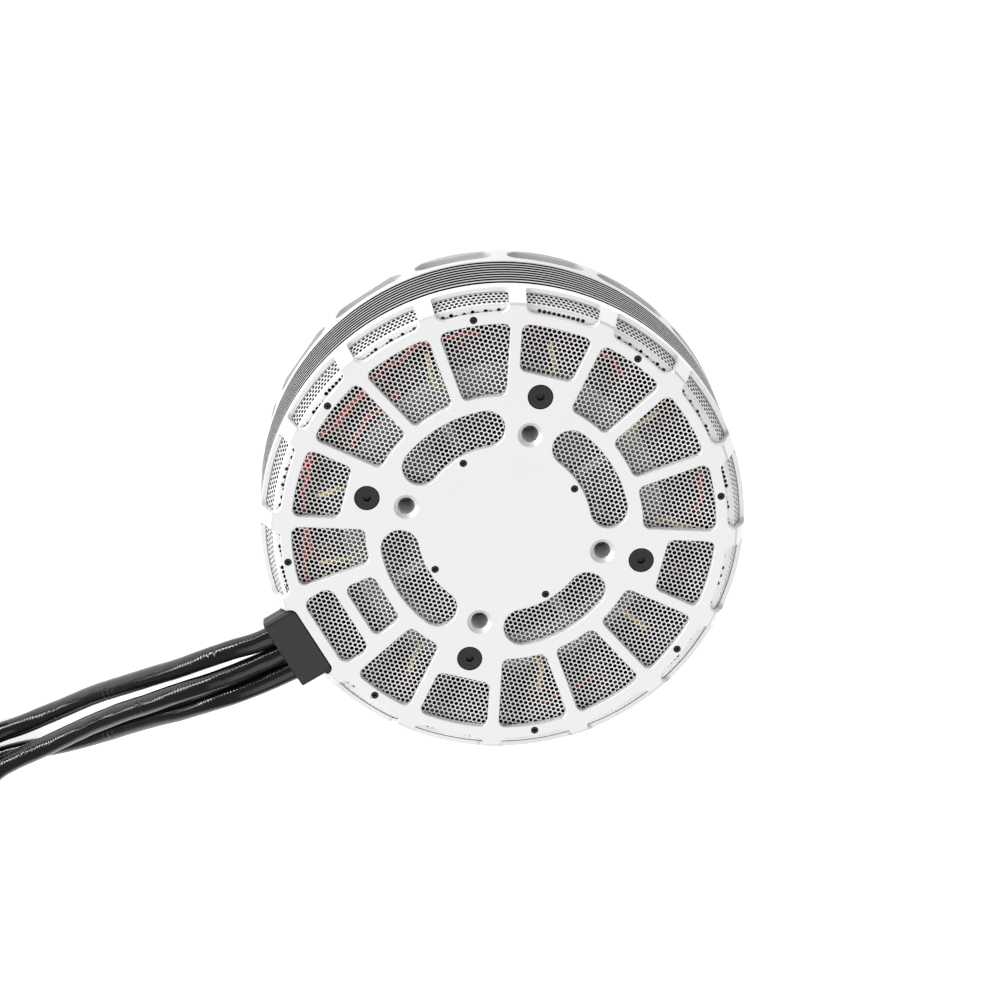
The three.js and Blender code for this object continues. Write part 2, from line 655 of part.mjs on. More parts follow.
// the free stretch of each cable, from the clamp to the hank
const DROP = [
  [[-102.8, 8.4, 64.4], [-110, 9.2, 64.2], [-118, 10.7, 62.7], [-131, 11.8, 58.2],
    [-144.6, 12.1, 51.3], [-158, 12.2, 42.6], [-171, 12, 33.8], [-183.5, 11.8, 25],
    [-196.5, 11, 17], [-209.5, 10.6, 10.7], [-222, 10.9, 6.6], [-234, 12.5, 4.7],
    [-250, 13.8, FLOOR_Z], [-275, 14.3, FLOOR_Z], [-300, 14.3, FLOOR_Z]],
  [[-102.8, 0, 64.4], [-112, 0.8, 64.4], [-123, 2.1, 63.8], [-136, 3.5, 61.4],
    [-148.5, 4.7, 56.7], [-162.5, 4.9, 49.6], [-175, 4.9, 42.4], [-187.5, 4.5, 35.2],
    [-200.6, 3.5, 28], [-214, 2.5, 22], [-226.5, 2.2, 17], [-239, 1.6, 13.1],
    [-250, -0.4, 11.6], [-262, -2.8, 9.4], [-275, -4.7, 6.4], [-290, -5.3, 4.7]],
  [[-102.8, -8.4, 64.4], [-114, -7.4, 64], [-128, -6, 61.7], [-141, -5, 56.5],
    [-155, -4.8, 48], [-168.5, -4.5, 38.3], [-181.5, -4.6, 29.2], [-194.3, -4.9, 20.5],
    [-206.5, -4.2, 13.4], [-218, -2.5, 8], [-229, 0.6, 5.2], [-240, 3.4, 4.4],
    [-252, 4.4, FLOOR_Z], [-275, 4.5, FLOOR_Z], [-300, 4.5, FLOOR_Z]],
];

const CABLE_LENGTH = 580; // from the clamp to the connector
const CABLE_STEPS = 27;

// The loop of the hank: a gentle swing out, three quarters of a circle, and back beside the run
// that it came by. The cables stay a pitch apart, so their bends have one set of centres.
function loopPoints(runY) {
  const { startX, radius, swing, runMiddle, middleY } = LOOP;
  const shift = runY - runMiddle;
  const swingY = runMiddle - swing;
  const reach = radius + swing;
  const bend = Math.acos((middleY - swingY) / reach);
  const centreX = startX - reach * Math.sin(bend);
  const points = [];
  for (const part of [0, 0.5]) {
    const angle = Math.PI / 2 + part * bend;
    points.push([startX + (swing + shift) * Math.cos(angle), swingY + (swing + shift) * Math.sin(angle)]);
  }
  const turn = Math.PI + 2 * bend;
  for (let i = 0; i <= LOOP.steps; i += 1) {
    const angle = bend - Math.PI / 2 - (i / LOOP.steps) * turn;
    points.push([centreX + (radius - shift) * Math.cos(angle), middleY + (radius - shift) * Math.sin(angle)]);
  }
  const back = points.slice(0, 2).reverse().map(([x, y]) => [x, 2 * middleY - y]);
  return [...points, ...back].map(([x, y]) => [x, y, FLOOR_Z]);
}

function cableRoute(number) {
  const runY = RUN_Y[number];
  const backY = 2 * LOOP.middleY - runY;
  const points = [
    ...DROP[number],
    [STRAP.x + STRAP.width, runY, STRAP_Z],
    [STRAP.x - STRAP.width, runY, STRAP_Z],
    ...loopPoints(runY),
    [STRAP.x - STRAP.width, backY, STRAP_Z],
    [STRAP.x, backY, STRAP_Z],
  ];
  const curve = (list) => {
    const vectors = list.map((point) => new THREE.Vector3(...point));
    return new THREE.CatmullRomCurve3(vectors, false, 'centripetal');
  };
  const rest = CABLE_LENGTH - curve(points).getLength();
  const endX = STRAP.x + rest;
  points.push([STRAP.x + rest / 2, backY, END_Z], [endX, backY, END_Z]);
  return { curve: curve(points), end: [endX, backY, END_Z] };
}

function circleShape(radius, sides) {
  const points = angles(sides).map((degrees) => new THREE.Vector2(...polar(radius, degrees)));
  return new THREE.Shape(points);
}

// a piece drawn in the plane across X, from x0 to x1
function acrossX(shape, x0, x1, curveSegments = 2) {
  const geometry = new THREE.ExtrudeGeometry(shape, { depth: x1 - x0, bevelEnabled: false, curveSegments });
  const turn = new THREE.Matrix4().makeBasis(
    new THREE.Vector3(0, 1, 0),
    new THREE.Vector3(0, 0, 1),
    new THREE.Vector3(1, 0, 0),
  );
  return solid(geometry.applyMatrix4(turn).translate(x0, 0, 0));
}

function rodAlongX(radius, x0, x1, sides) {
  return acrossX(circleShape(radius, sides), x0, x1);
}

// a bullet connector, its crimp barrel starting at the origin and its pin along +X
function bulletConnector() {
  const { barrel, barrelLength, collar, collarWidth, tip, length } = CONNECTOR;
  return turned([
    [0, 0],
    [barrel, 0],
    [barrel, barrelLength],
    [collar, barrelLength],
    [collar, barrelLength + collarWidth],
    [barrel, barrelLength + collarWidth],
    [barrel, length - 1.5],
    [tip, length],
    [0, length],
  ], SMALL).rotate([0, 90, 0]);
}

RUN_Y.forEach((_, i) => {
  const { curve, end } = cableRoute(i);
  const tube = new THREE.ExtrudeGeometry(circleShape(CABLE_RADIUS, CABLE_SIDES), {
    steps: CABLE_STEPS,
    extrudePath: curve,
  });
  add(`phase_cable_${i + 1}`, solid(tube), blackSleeve);
  const [x, y, z] = end;
  add(`bullet_connector_${i + 1}`, bulletConnector().translate([x + CLEARANCE, y, z]), gold);
  const { inner, outer, length } = HEAT_SHRINK;
  const sleeve = rodAlongX(outer, -length / 2, length / 2, SMALL)
    .subtract(rodAlongX(inner, -length, length, SMALL));
  add(`heat_shrink_${i + 1}`, sleeve.translate([x, y, z]), shrinkBlack);
});

// ---- the strap that holds the hank ----

function strap() {
  const { x, width, thickness, clearance } = STRAP;
  const reach = CABLE_RADIUS + clearance;
  const lowY = Math.min(...RUN_Y) - reach;
  const highY = 2 * LOOP.middleY - lowY;
  const outline = (grow) => {
    const half = reach + grow;
    return roundedRectangle(lowY - grow, highY + grow, STRAP_Z - half, STRAP_Z + half, half - 0.1);
  };
  const outside = acrossX(outline(thickness), x - width / 2, x + width / 2);
  const inside = acrossX(outline(0), x - width, x + width);
  return outside.subtract(inside);
}

add('cable_strap', strap(), strapBlack);

export default motor;
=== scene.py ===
# The looks of a brushless outrunner motor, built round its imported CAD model.
# Design sizes are in millimetres, as in the CAD source; Blender's are in metres.
import math
import random

import bpy
import numpy as np
from mathutils import Matrix, Vector


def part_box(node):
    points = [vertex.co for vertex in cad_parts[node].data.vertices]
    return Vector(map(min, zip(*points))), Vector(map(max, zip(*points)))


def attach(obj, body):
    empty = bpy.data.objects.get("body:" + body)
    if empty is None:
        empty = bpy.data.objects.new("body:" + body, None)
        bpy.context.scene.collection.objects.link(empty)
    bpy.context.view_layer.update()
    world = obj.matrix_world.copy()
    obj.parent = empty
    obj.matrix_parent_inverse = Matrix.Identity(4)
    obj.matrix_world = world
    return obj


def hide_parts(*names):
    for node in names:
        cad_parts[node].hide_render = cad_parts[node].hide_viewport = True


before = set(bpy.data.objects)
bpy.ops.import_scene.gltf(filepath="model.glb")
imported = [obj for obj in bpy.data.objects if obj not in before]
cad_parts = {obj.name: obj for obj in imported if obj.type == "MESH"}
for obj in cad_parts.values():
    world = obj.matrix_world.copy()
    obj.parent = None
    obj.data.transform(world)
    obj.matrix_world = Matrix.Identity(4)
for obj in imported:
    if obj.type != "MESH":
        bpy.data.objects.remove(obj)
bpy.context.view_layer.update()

MM = 0.001
FACE_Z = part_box("mount_plate")[1][2] / MM  # mounting face
OUTER_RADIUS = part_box("flux_ring")[1][0] / MM
CLEARANCE = 0.3

# ---- camera ----

AIM = (4.6, 11.45, FACE_Z)
AZIMUTH, ELEVATION, ROLL = 159.03, 71.39, 169.9
DISTANCE = 1461.3
LENS = 133.66


def make_camera():
    """Looks down on the mounting face, with the cables leaving to the lower left."""
    a, e, roll = (math.radians(x) for x in (AZIMUTH, ELEVATION, ROLL))
    back = Vector((math.sin(a) * math.cos(e), -math.cos(a) * math.cos(e), math.sin(e)))
    level = Vector((math.cos(a), math.sin(a), 0))
    above = back.cross(level)
    right = math.cos(roll) * level + math.sin(roll) * above
    up = back.cross(right)
    camera = bpy.data.objects.new("camera", bpy.data.cameras.new("camera"))
    bpy.context.collection.objects.link(camera)
    camera.data.lens = LENS
    camera.data.sensor_width = 36
    camera.data.clip_end = 20
    place = (Vector(AIM) + back * DISTANCE) * MM
    axes = Matrix((right, up, back)).transposed().to_4x4()
    camera.matrix_world = Matrix.Translation(place) @ axes
    bpy.context.scene.camera = camera


make_camera()

# ---- materials ----


class Nodes:
    """A material's node tree, with its Principled shader and short ways to add nodes."""

    def __init__(self, name, colour, roughness, metallic=0.0, **values):
        self.material = bpy.data.materials.new(name)
        self.material.use_nodes = True
        self.tree = self.material.node_tree
        self.shader = self.tree.nodes["Principled BSDF"]
        self.colour = colour
        self.set("Base Color", (*colour, 1))
        self.set("Roughness", roughness)
        self.set("Metallic", metallic)
        for socket, value in values.items():
            self.set(socket.replace("_", " "), value)

    def set(self, socket, value):
        self.shader.inputs[socket].default_value = value

    def add(self, kind, settings=None, **inputs):
        """A node whose inputs are given by name, or by number as _0."""
        node = self.tree.nodes.new("ShaderNode" + kind)
        for key, value in (settings or {}).items():
            setattr(node, key, value)
        for key, value in inputs.items():
            socket = node.inputs[int(key[1:])] if key[1:].isdigit() else node.inputs[key]
            if isinstance(value, bpy.types.NodeSocket):
                self.tree.links.new(value, socket)
            else:
                socket.default_value = value
        return node

    def math(self, operation, a, b=0.0):
        return self.add("Math", {"operation": operation}, _0=a, _1=b).outputs[0]

    def place(self, scale=(1, 1, 1)):
        """The object's own coordinates, in metres times a scale."""
        coordinates = self.add("TexCoord").outputs["Object"]
        return self.add("Mapping", Vector=coordinates, Scale=scale).outputs[0]

    def wave(self, value, length):
        return self.math("SINE", self.math("MULTIPLY", value, 2 * math.pi / length))

    def noise(self, size_mm, detail=2.0, stretch=(1, 1, 1)):
        vector = self.place(stretch)
        noise = self.add("TexNoise", Vector=vector, Scale=1 / (size_mm * MM), Detail=detail)
        return noise.outputs["Fac"]

    def radius(self):
        """Distance from the motor's axis, in metres."""
        vector = self.place((1, 1, 0))
        return self.add("VectorMath", {"operation": "LENGTH"}, _0=vector).outputs["Value"]

    def span(self, value, low, high):
        """The 0 to 1 value spread from low to high."""
        node = self.add("MapRange", _0=value)
        node.inputs["To Min"].default_value = low
        node.inputs["To Max"].default_value = high
        return node.outputs[0]

    def shade(self, value, low, high):
        """Base colour varied in lightness from low to high times the plain colour."""
        dark = (*(c * low for c in self.colour), 1)
        light = (*(min(1, c * high) for c in self.colour), 1)
        mix = self.add("Mix", {"data_type": "RGBA"}, _0=value, _6=dark, _7=light)
        self.tree.links.new(mix.outputs[2], self.shader.inputs["Base Color"])

    def rough(self, value, low, high):
        self.tree.links.new(self.span(value, low, high), self.shader.inputs["Roughness"])

    def bump(self, height, depth_mm):
        node = self.add("Bump", Height=height, Strength=1.0, Distance=depth_mm * MM)
        self.tree.links.new(node.outputs[0], self.shader.inputs["Normal"])


def blasted_aluminium(name, colour, turning=0.0):
    """Bead-blasted metal: a fine grain, soft cloudy variation and, on the plate, turning marks."""
    m = Nodes(name, colour, 0.45, 0.3)
    grain = m.noise(0.35, 2)
    cloud = m.noise(22, 3)
    m.shade(m.math("MULTIPLY", m.math("ADD", grain, cloud), 0.5), 0.95, 1.03)
    m.rough(cloud, 0.4, 0.52)
    height = grain
    if turning:
        height = m.math("ADD", grain, m.math("MULTIPLY", m.wave(m.radius(), 1.8 * MM), turning))
    m.bump(height, 0.012)
    return m.material


def turned_metal(name, colour, roughness, metallic=1.0, pitch_mm=0.25, **values):
    """Turned or ground metal, with fine lines round the axis and slight stains."""
    m = Nodes(name, colour, roughness, metallic, **values)
    height = m.place((0, 0, 1))
    lines = m.add("TexNoise", Vector=height, Scale=1 / (pitch_mm * MM), Detail=3.0).outputs["Fac"]
    cloud = m.noise(14, 3)
    m.shade(cloud, 0.88, 1.05)
    m.rough(m.math("ADD", lines, cloud), roughness * 0.7, roughness * 1.1)
    m.bump(lines, 0.01)
    return m.material


def mottled(name, colour, roughness, shade, rough=None, bump=None, **values):
    """A material varied by noise: shade and rough are (size in mm, detail, low, high).

    bump is (size in mm, detail, depth in mm).
    """
    m = Nodes(name, colour, roughness, **values)
    size, detail, low, high = shade
    m.shade(m.noise(size, detail), low, high)
    if rough:
        size, detail, low, high = rough
        m.rough(m.noise(size, detail), low, high)
    if bump:
        size, detail, depth = bump
        m.bump(m.noise(size, detail), depth)
    return m.material


BRAID_PITCH = 1.4


def braided_sleeve():
    """Black monofilament braid, in the tube's own coordinates: U along it and V round it, in mm."""
    m = Nodes("braided_sleeve", (0.005, 0.005, 0.0055), 0.1)
    uv = m.add("UVMap", {"uv_map": "braid"}).outputs[0]
    along, around, _ = m.add("SeparateXYZ", _0=uv).outputs
    one = m.wave(m.math("ADD", along, around), BRAID_PITCH)
    other = m.wave(m.math("SUBTRACT", along, around), BRAID_PITCH)
    over = m.math("MAXIMUM", one, other)
    wear = m.noise(5, 4)
    m.shade(m.math("MULTIPLY", over, wear), 0.7, 2.2)
    m.rough(wear, 0.05, 0.14)
    m.bump(over, 0.014)
    return m.material


def enamelled_wire(name, colour):
    return mottled(name, colour, 0.3, (3, 3, 0.6, 1.3), (1, 2, 0.22, 0.4), metallic=0.3, Coat_Weight=0.5)


def laminated_steel():
    """Thin sheets stacked along the axis, black coated."""
    m = Nodes("laminated_steel", (0.035, 0.035, 0.038), 0.55, 0.5)
    height = m.add("SeparateXYZ", _0=m.place()).outputs[2]
    sheets = m.wave(height, 0.7 * MM)
    m.shade(m.noise(4, 3), 0.8, 1.4)
    m.bump(sheets, 0.05)
    return m.material


def shrink_tube():
    m = Nodes("shrink_tube", (0.014, 0.014, 0.016), 0.5)
    m.shade(m.noise(2, 3), 0.8, 1.5)
    m.rough(m.noise(3, 3), 0.35, 0.55)
    m.bump(m.noise(1.5, 3, (0.3, 1, 1)), 0.06)
    return m.material


plate_metal = blasted_aluminium("plate_metal", (0.86, 0.865, 0.86), turning=0.3)
cap_metal = blasted_aluminium("cap_metal", (0.68, 0.68, 0.68))
carrier_metal = blasted_aluminium("carrier_metal", (0.25, 0.25, 0.247))
hole_metal = turned_metal("hole_metal", (0.86, 0.86, 0.85), 0.36, 0.3)
screen_metal = turned_metal("screen_metal", (0.93, 0.935, 0.93), 0.4, 0.12, 3)
band_metal = turned_metal("band_metal", (0.42, 0.42, 0.41), 0.36, 0.8)
# Nearly black and hardly reflecting: the grooves' dark finish, which also paints their shade, and painted
# shade in the gap over the band's top step and round the countersunk screw heads.
black_finish_and_painted_shade = turned_metal("black_finish_and_painted_shade", (0.003, 0.003, 0.0035), 0.8, 0.0, Specular_IOR_Level=0.04)
bearing_metal = turned_metal("bearing_metal", (0.66, 0.67, 0.68), 0.2)
magnet_plating = turned_metal("magnet_plating", (0.1, 0.1, 0.105), 0.5, 0.6, 2)
screw_black = mottled("black_oxide", (0.008, 0.008, 0.009), 0.34, (1.1, 4, 0.6, 2.6), (1.1, 4, 0.22, 0.48),
                      (0.25, 2, 0.01), Specular_IOR_Level=0.3)
clamp_moulding = mottled("clamp_moulding", (0.021, 0.023, 0.025), 0.5, (6, 3, 0.9, 1.12), (0.3, 2, 0.38, 0.5),
                         (0.3, 2, 0.02), Specular_IOR_Level=0.35)
sleeve = braided_sleeve()
coil_enamel = enamelled_wire("coil_enamel", (0.045, 0.006, 0.004))
red_enamel = enamelled_wire("red_enamel", (0.55, 0.03, 0.02))
core_sheets = laminated_steel()
strap_weave = mottled("woven_strap", (0.016, 0.016, 0.018), 0.85, (0.5, 4, 0.6, 1.8), bump=(0.5, 4, 0.25))
shrink_black = shrink_tube()
yellow_sleeving = mottled("glass_sleeving", (0.78, 0.62, 0.24), 0.6, (0.6, 3, 0.75, 1.1), bump=(0.4, 2, 0.05))
connector_gold = turned_metal("connector_gold", (0.83, 0.62, 0.24), 0.22)
cage_polymer = enamelled_wire("cage_polymer", (0.35, 0.22, 0.09))

# ---- mesh building ----

# Turns an outline in (Y, Z) with a depth along X into place, from (X, Y) with a depth along Z.
FACING_X = Matrix(((0, 0, 1, 0), (1, 0, 0, 0), (0, 1, 0, 0), (0, 0, 0, 1)))


def mesh_object(name, vertices, faces, *materials):
    """A mesh object from points in millimetres."""
    mesh = bpy.data.meshes.new(name)
    mesh.from_pydata((np.asarray(vertices, float) * MM).tolist(), [], faces)
    for material in materials:
        mesh.materials.append(material)
    obj = bpy.data.objects.new(name, mesh)
    bpy.context.collection.objects.link(obj)
    return obj


def smooth(obj, sharp):
    """Smooth shading that breaks at edges sharper than the given degrees. Flats stay flat."""
    obj.data.shade_smooth()
    obj.data.set_sharp_from_angle(angle=math.radians(sharp))
    weighted = obj.modifiers.new("flats", "WEIGHTED_NORMAL")
    weighted.keep_sharp = True
    weighted.weight = 90
    apply_modifier(obj, weighted)
    return obj


def arc(centre, radius, start, end, steps):
    """Points on an arc; angles in radians."""
    angles = np.linspace(start, end, steps + 1)
    return [(centre[0] + radius * math.cos(a), centre[1] + radius * math.sin(a)) for a in angles]


def polar(radius, degrees):
    return radius * math.cos(math.radians(degrees)), radius * math.sin(math.radians(degrees))


def evenly(count, first=0.0):
    return [first + 360 * i / count for i in range(count)]


def filleted(corners, steps=4):
    """A closed outline from (x, y, radius) corners, each with a round of that radius."""
    points = []
    count = len(corners)
    for i, (x, y, radius) in enumerate(corners):
        here = np.array((x, y), float)
        if radius == 0:
            points.append((x, y))
            continue
        before = np.array(corners[i - 1][:2], float) - here
        after = np.array(corners[(i + 1) % count][:2], float) - here
        before /= np.linalg.norm(before)
        after /= np.linalg.norm(after)
        half = math.acos(np.clip(before @ after, -1, 1)) / 2
        reach = radius / math.tan(half)
        middle = before + after
        centre = here + middle / np.linalg.norm(middle) * radius / math.sin(half)
        first = here + before * reach - centre
        last = here + after * reach - centre
        start = math.atan2(first[1], first[0])
        sweep = (math.atan2(last[1], last[0]) - start + math.pi) % (2 * math.pi) - math.pi
        points += arc(centre, radius, start, start + sweep, steps)
    return points


def strip(a, b, count):
    """Four-sided faces between two closed rings of points that start at a and b."""
    return [[a + i, a + (i + 1) % count, b + (i + 1) % count, b + i] for i in range(count)]


def lathe_mesh(profile, sides):
    """Vertices and faces of a closed [radius, z] profile turned about Z."""
    vertices, rings = [], []
    turns = np.linspace(0, 2 * math.pi, sides, endpoint=False)
    for radius, z in profile:
        first = len(vertices)
        if radius < 1e-6:
            vertices.append((0, 0, z))
            rings.append([first] * sides)
        else:
            vertices += [(radius * math.cos(t), radius * math.sin(t), z) for t in turns]
            rings.append(list(range(first, first + sides)))
    faces = []
    for a, b in zip(rings, rings[1:] + rings[:1]):
        for i in range(sides):
            j = (i + 1) % sides
            face = list(dict.fromkeys((a[i], a[j], b[j], b[i])))
            if len(face) > 2:
                faces.append(face)
    return vertices, faces


def prism_mesh(outline, z0, z1):
    count = len(outline)
    vertices = [(x, y, z) for z in (z0, z1) for x, y in outline]
    faces = [list(range(count))[::-1], list(range(count, 2 * count))]
    return vertices, faces + strip(0, count, count)


def flared_mesh(outline, z0, surface, chamfer=0.28, beyond=0.6):
    """A cutter whose outline widens at 45 degrees through a surface, which leaves a chamfer there."""
    points = np.array(outline, float)
    along = np.roll(points, -1, axis=0) - np.roll(points, 1, axis=0)
    along /= np.linalg.norm(along, axis=1)[:, None]
    outwards = np.column_stack((along[:, 1], -along[:, 0]))
    wide = points + outwards * (chamfer + beyond)
    count = len(outline)
    tops = np.array([surface(x, y) for x, y in outline])
    rings = (points, [z0] * count), (points, tops - chamfer), (wide, tops + beyond), (wide, tops + beyond + 3)
    vertices = [(x, y, z) for ring, heights in rings for (x, y), z in zip(ring, heights)]
    faces = [list(range(count))[::-1], list(range(3 * count, 4 * count))]
    for ring in range(3):
        faces += strip(ring * count, (ring + 1) * count, count)
    return vertices, faces


def moved(mesh, matrix):
    vertices, faces = mesh
    return [tuple(matrix @ Vector(v)) for v in vertices], faces


def placed(mesh, place):
    return moved(mesh, Matrix.Translation((*place, 0)))


def turned_to(mesh, degrees):
    return moved(mesh, Matrix.Rotation(math.radians(degrees), 4, "Z"))


def joined(meshes):
    """One list of vertices and faces from several."""
    vertices, faces = [], []
    for more, more_faces in meshes:
        first = len(vertices)
        vertices += more
        faces += [[first + i for i in face] for face in more_faces]
    return vertices, faces


def box_mesh(x0, x1, y0, y1, z0, z1):
    return prism_mesh([(x0, y0), (x1, y0), (x1, y1), (x0, y1)], z0, z1)


def pin_mesh(radius, z0, z1, place, sides):
    return placed(lathe_mesh([(0, z0), (radius, z0), (radius, z1), (0, z1)], sides), place)


def apply_modifier(obj, modifier):
    bpy.context.view_layer.objects.active = obj
    with bpy.context.temp_override(object=obj, active_object=obj):
        bpy.ops.object.modifier_apply(modifier=modifier.name)


def combine(obj, mesh, operation="DIFFERENCE"):
    """Cuts a mesh from an object, or keeps what they share."""
    other = mesh_object("cutter", *mesh)
    modifier = obj.modifiers.new("combine", "BOOLEAN")
    modifier.object = other
    modifier.operation = operation
    modifier.solver = "MANIFOLD"
    apply_modifier(obj, modifier)
    bpy.data.objects.remove(other)


def eased(obj, width, angle=35):
    """Small rounds on all edges sharper than the given degrees."""
    modifier = obj.modifiers.new("edges", "BEVEL")
    modifier.width = width * MM
    modifier.segments = 2
    modifier.limit_method = "ANGLE"
    modifier.angle_limit = math.radians(angle)
    modifier.use_clamp_overlap = False
    modifier.harden_normals = True
    obj.data.shade_smooth()
    apply_modifier(obj, modifier)


def repaint(obj, slot, chosen):
    """Gives the faces whose middle passes the test, in millimetres, to a material slot."""
    for face in obj.data.polygons:
        if chosen(face.center / MM):
            face.material_index = slot


def stands_for(obj, body, slot, *nodes):
    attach(obj, body)
    if nodes:
        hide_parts(*nodes)
    return obj


def piece(name, mesh, material, sharp, body, slot, *nodes):
    """A smooth piece that needs no cuts."""
    return stands_for(smooth(mesh_object(name, *mesh, material), sharp), body, slot, *nodes)


# ---- phase cables: the same routes as the CAD solids, with a braided sleeve's surface ----

CABLE_RADIUS = 4.1
CABLE_LENGTH = 580
CABLE_Y = (8.4, 0, -8.4)
CLAMP = {"x0": -102.5, "x1": -88.7, "half": 15.3, "top": 69.6, "middle": 64.4, "bottom": 59.2}
FLOOR_Z = 4.3
STRAP_Z = 5.6
END_Z = 5.4
STRAP = {"x": -338, "width": 12, "thickness": 0.8, "clearance": 0.6}
RUN_Y = (14.3, -5.3, 4.5)
LOOP = {"start_x": -360, "radius": 37, "swing": 37, "run_middle": 4.5, "middle_y": 19.2, "steps": 18}

# Each cable's way from the clamp down to the ground.
DROP = (
    ((-102.8, 8.4, 64.4), (-110, 9.2, 64.2), (-118, 10.7, 62.7), (-131, 11.8, 58.2),
     (-144.6, 12.1, 51.3), (-158, 12.2, 42.6), (-171, 12, 33.8), (-183.5, 11.8, 25),
     (-196.5, 11, 17), (-209.5, 10.6, 10.7), (-222, 10.9, 6.6), (-234, 12.5, 4.7),
     (-250, 13.8, FLOOR_Z), (-275, 14.3, FLOOR_Z), (-300, 14.3, FLOOR_Z)),
    ((-102.8, 0, 64.4), (-112, 0.8, 64.4), (-123, 2.1, 63.8), (-136, 3.5, 61.4),
     (-148.5, 4.7, 56.7), (-162.5, 4.9, 49.6), (-175, 4.9, 42.4), (-187.5, 4.5, 35.2),
     (-200.6, 3.5, 28), (-214, 2.5, 22), (-226.5, 2.2, 17), (-239, 1.6, 13.1),
     (-250, -0.4, 11.6), (-262, -2.8, 9.4), (-275, -4.7, 6.4), (-290, -5.3, 4.7)),
    ((-102.8, -8.4, 64.4), (-114, -7.4, 64), (-128, -6, 61.7), (-141, -5, 56.5),
     (-155, -4.8, 48), (-168.5, -4.5, 38.3), (-181.5, -4.6, 29.2), (-194.3, -4.9, 20.5),
     (-206.5, -4.2, 13.4), (-218, -2.5, 8), (-229, 0.6, 5.2), (-240, 3.4, 4.4),
     (-252, 4.4, FLOOR_Z), (-275, 4.5, FLOOR_Z), (-300, 4.5, FLOOR_Z)),
)


def loop_points(run_y):
    """The loop of the hank: a gentle swing out, three quarters of a circle, and back."""
    shift = run_y - LOOP["run_middle"]
    swing, radius, middle_y = LOOP["swing"], LOOP["radius"], LOOP["middle_y"]
    swing_y = LOOP["run_middle"] - swing
    bend = math.acos((middle_y - swing_y) / (radius + swing))
    centre_x = LOOP["start_x"] - (radius + swing) * math.sin(bend)
    points = arc((LOOP["start_x"], swing_y), swing + shift, math.pi / 2, math.pi / 2 + bend / 2, 1)
    back = [(x, 2 * middle_y - y) for x, y in reversed(points)]
    start = bend - math.pi / 2
    circle = arc((centre_x, middle_y), radius - shift, start, start - math.pi - 2 * bend, LOOP["steps"])
    return [(x, y, FLOOR_Z) for x, y in points + circle + back]


def smooth_line(points, steps=12):
    """A centripetal Catmull-Rom curve through the points."""
    p = np.array(points, float)
    p = np.vstack((2 * p[0] - p[1], p, 2 * p[-1] - p[-2]))
    line = [p[1]]
    for i in range(1, len(p) - 2):
        d0, d1, d2 = (math.sqrt(np.linalg.norm(p[i + k] - p[i + k - 1])) for k in range(3))
        m1 = (p[i] - p[i - 1]) / d0 - (p[i + 1] - p[i - 1]) / (d0 + d1) + (p[i + 1] - p[i]) / d1
        m2 = (p[i + 1] - p[i]) / d1 - (p[i + 2] - p[i]) / (d1 + d2) + (p[i + 2] - p[i + 1]) / d2
        for t in np.linspace(0, 1, steps + 1)[1:]:
            h00, h10 = 2 * t**3 - 3 * t**2 + 1, t**3 - 2 * t**2 + t
            h01, h11 = 3 * t**2 - 2 * t**3, t**3 - t**2
            line.append(h00 * p[i] + h10 * d1 * m1 + h01 * p[i + 1] + h11 * d1 * m2)
    return np.array(line)


def line_length(line):
    return float(np.linalg.norm(np.diff(line, axis=0), axis=1).sum())


def evenly_spaced(line, step):
    lengths = np.concatenate(((0,), np.cumsum(np.linalg.norm(np.diff(line, axis=0), axis=1))))
    wanted = np.linspace(0, lengths[-1], max(2, round(lengths[-1] / step)) + 1)
    return np.column_stack([np.interp(wanted, lengths, line[:, i]) for i in range(3)])


def cable_route(number):
    """The centreline of a cable, and its end."""
    run_y = RUN_Y[number]
    back_y = 2 * LOOP["middle_y"] - run_y
    x, width = STRAP["x"], STRAP["width"]
    points = [*DROP[number], (x + width, run_y, STRAP_Z), (x - width, run_y, STRAP_Z)]
    points += loop_points(run_y)
    points += [(x - width, back_y, STRAP_Z), (x, back_y, STRAP_Z)]
    rest = CABLE_LENGTH - line_length(smooth_line(points))
    end = (x + rest, back_y, END_Z)
    points += [(x + rest / 2, back_y, END_Z), end]
    return smooth_line(points), end


def normals_along(line):
    """Two normals at each point of a line, turned as little as possible along the way."""
    tangents = np.gradient(line, axis=0)
    tangents /= np.linalg.norm(tangents, axis=1)[:, None]
    normal = np.array((0.0, 0.0, 1.0))
    normals = []
    for tangent in tangents:
        normal = normal - tangent * (normal @ tangent)
        normal /= np.linalg.norm(normal)
        normals.append(normal)
    normals = np.array(normals)
    return normals, np.cross(tangents, normals)


def tube_mesh(line, radii, sides):
    """A closed tube along a line. radii is an array of line points by sides, or one number."""
    up, across = normals_along(line)
    angles = np.linspace(0, 2 * math.pi, sides, endpoint=False)
    radii = np.broadcast_to(radii, (len(line), sides))
    out = np.cos(angles)[None, :, None] * up[:, None] + np.sin(angles)[None, :, None] * across[:, None]
    vertices = (line[:, None] + out * radii[..., None]).reshape(-1, 3)
    faces = []
    for i in range(len(line) - 1):
        faces += strip(i * sides, (i + 1) * sides, sides)
    faces.append(list(range(sides))[::-1])
    faces.append([(len(line) - 1) * sides + j for j in range(sides)])
    return vertices.tolist(), faces


SLEEVE_SIDES = 48
SLEEVE_STEP = 0.9  # length of a ring of faces
KINKS = ((0, 24), (0, 84), (0, 118), (1, 66), (2, 96), (1, 132), (0, 152))  # cable, distance along it


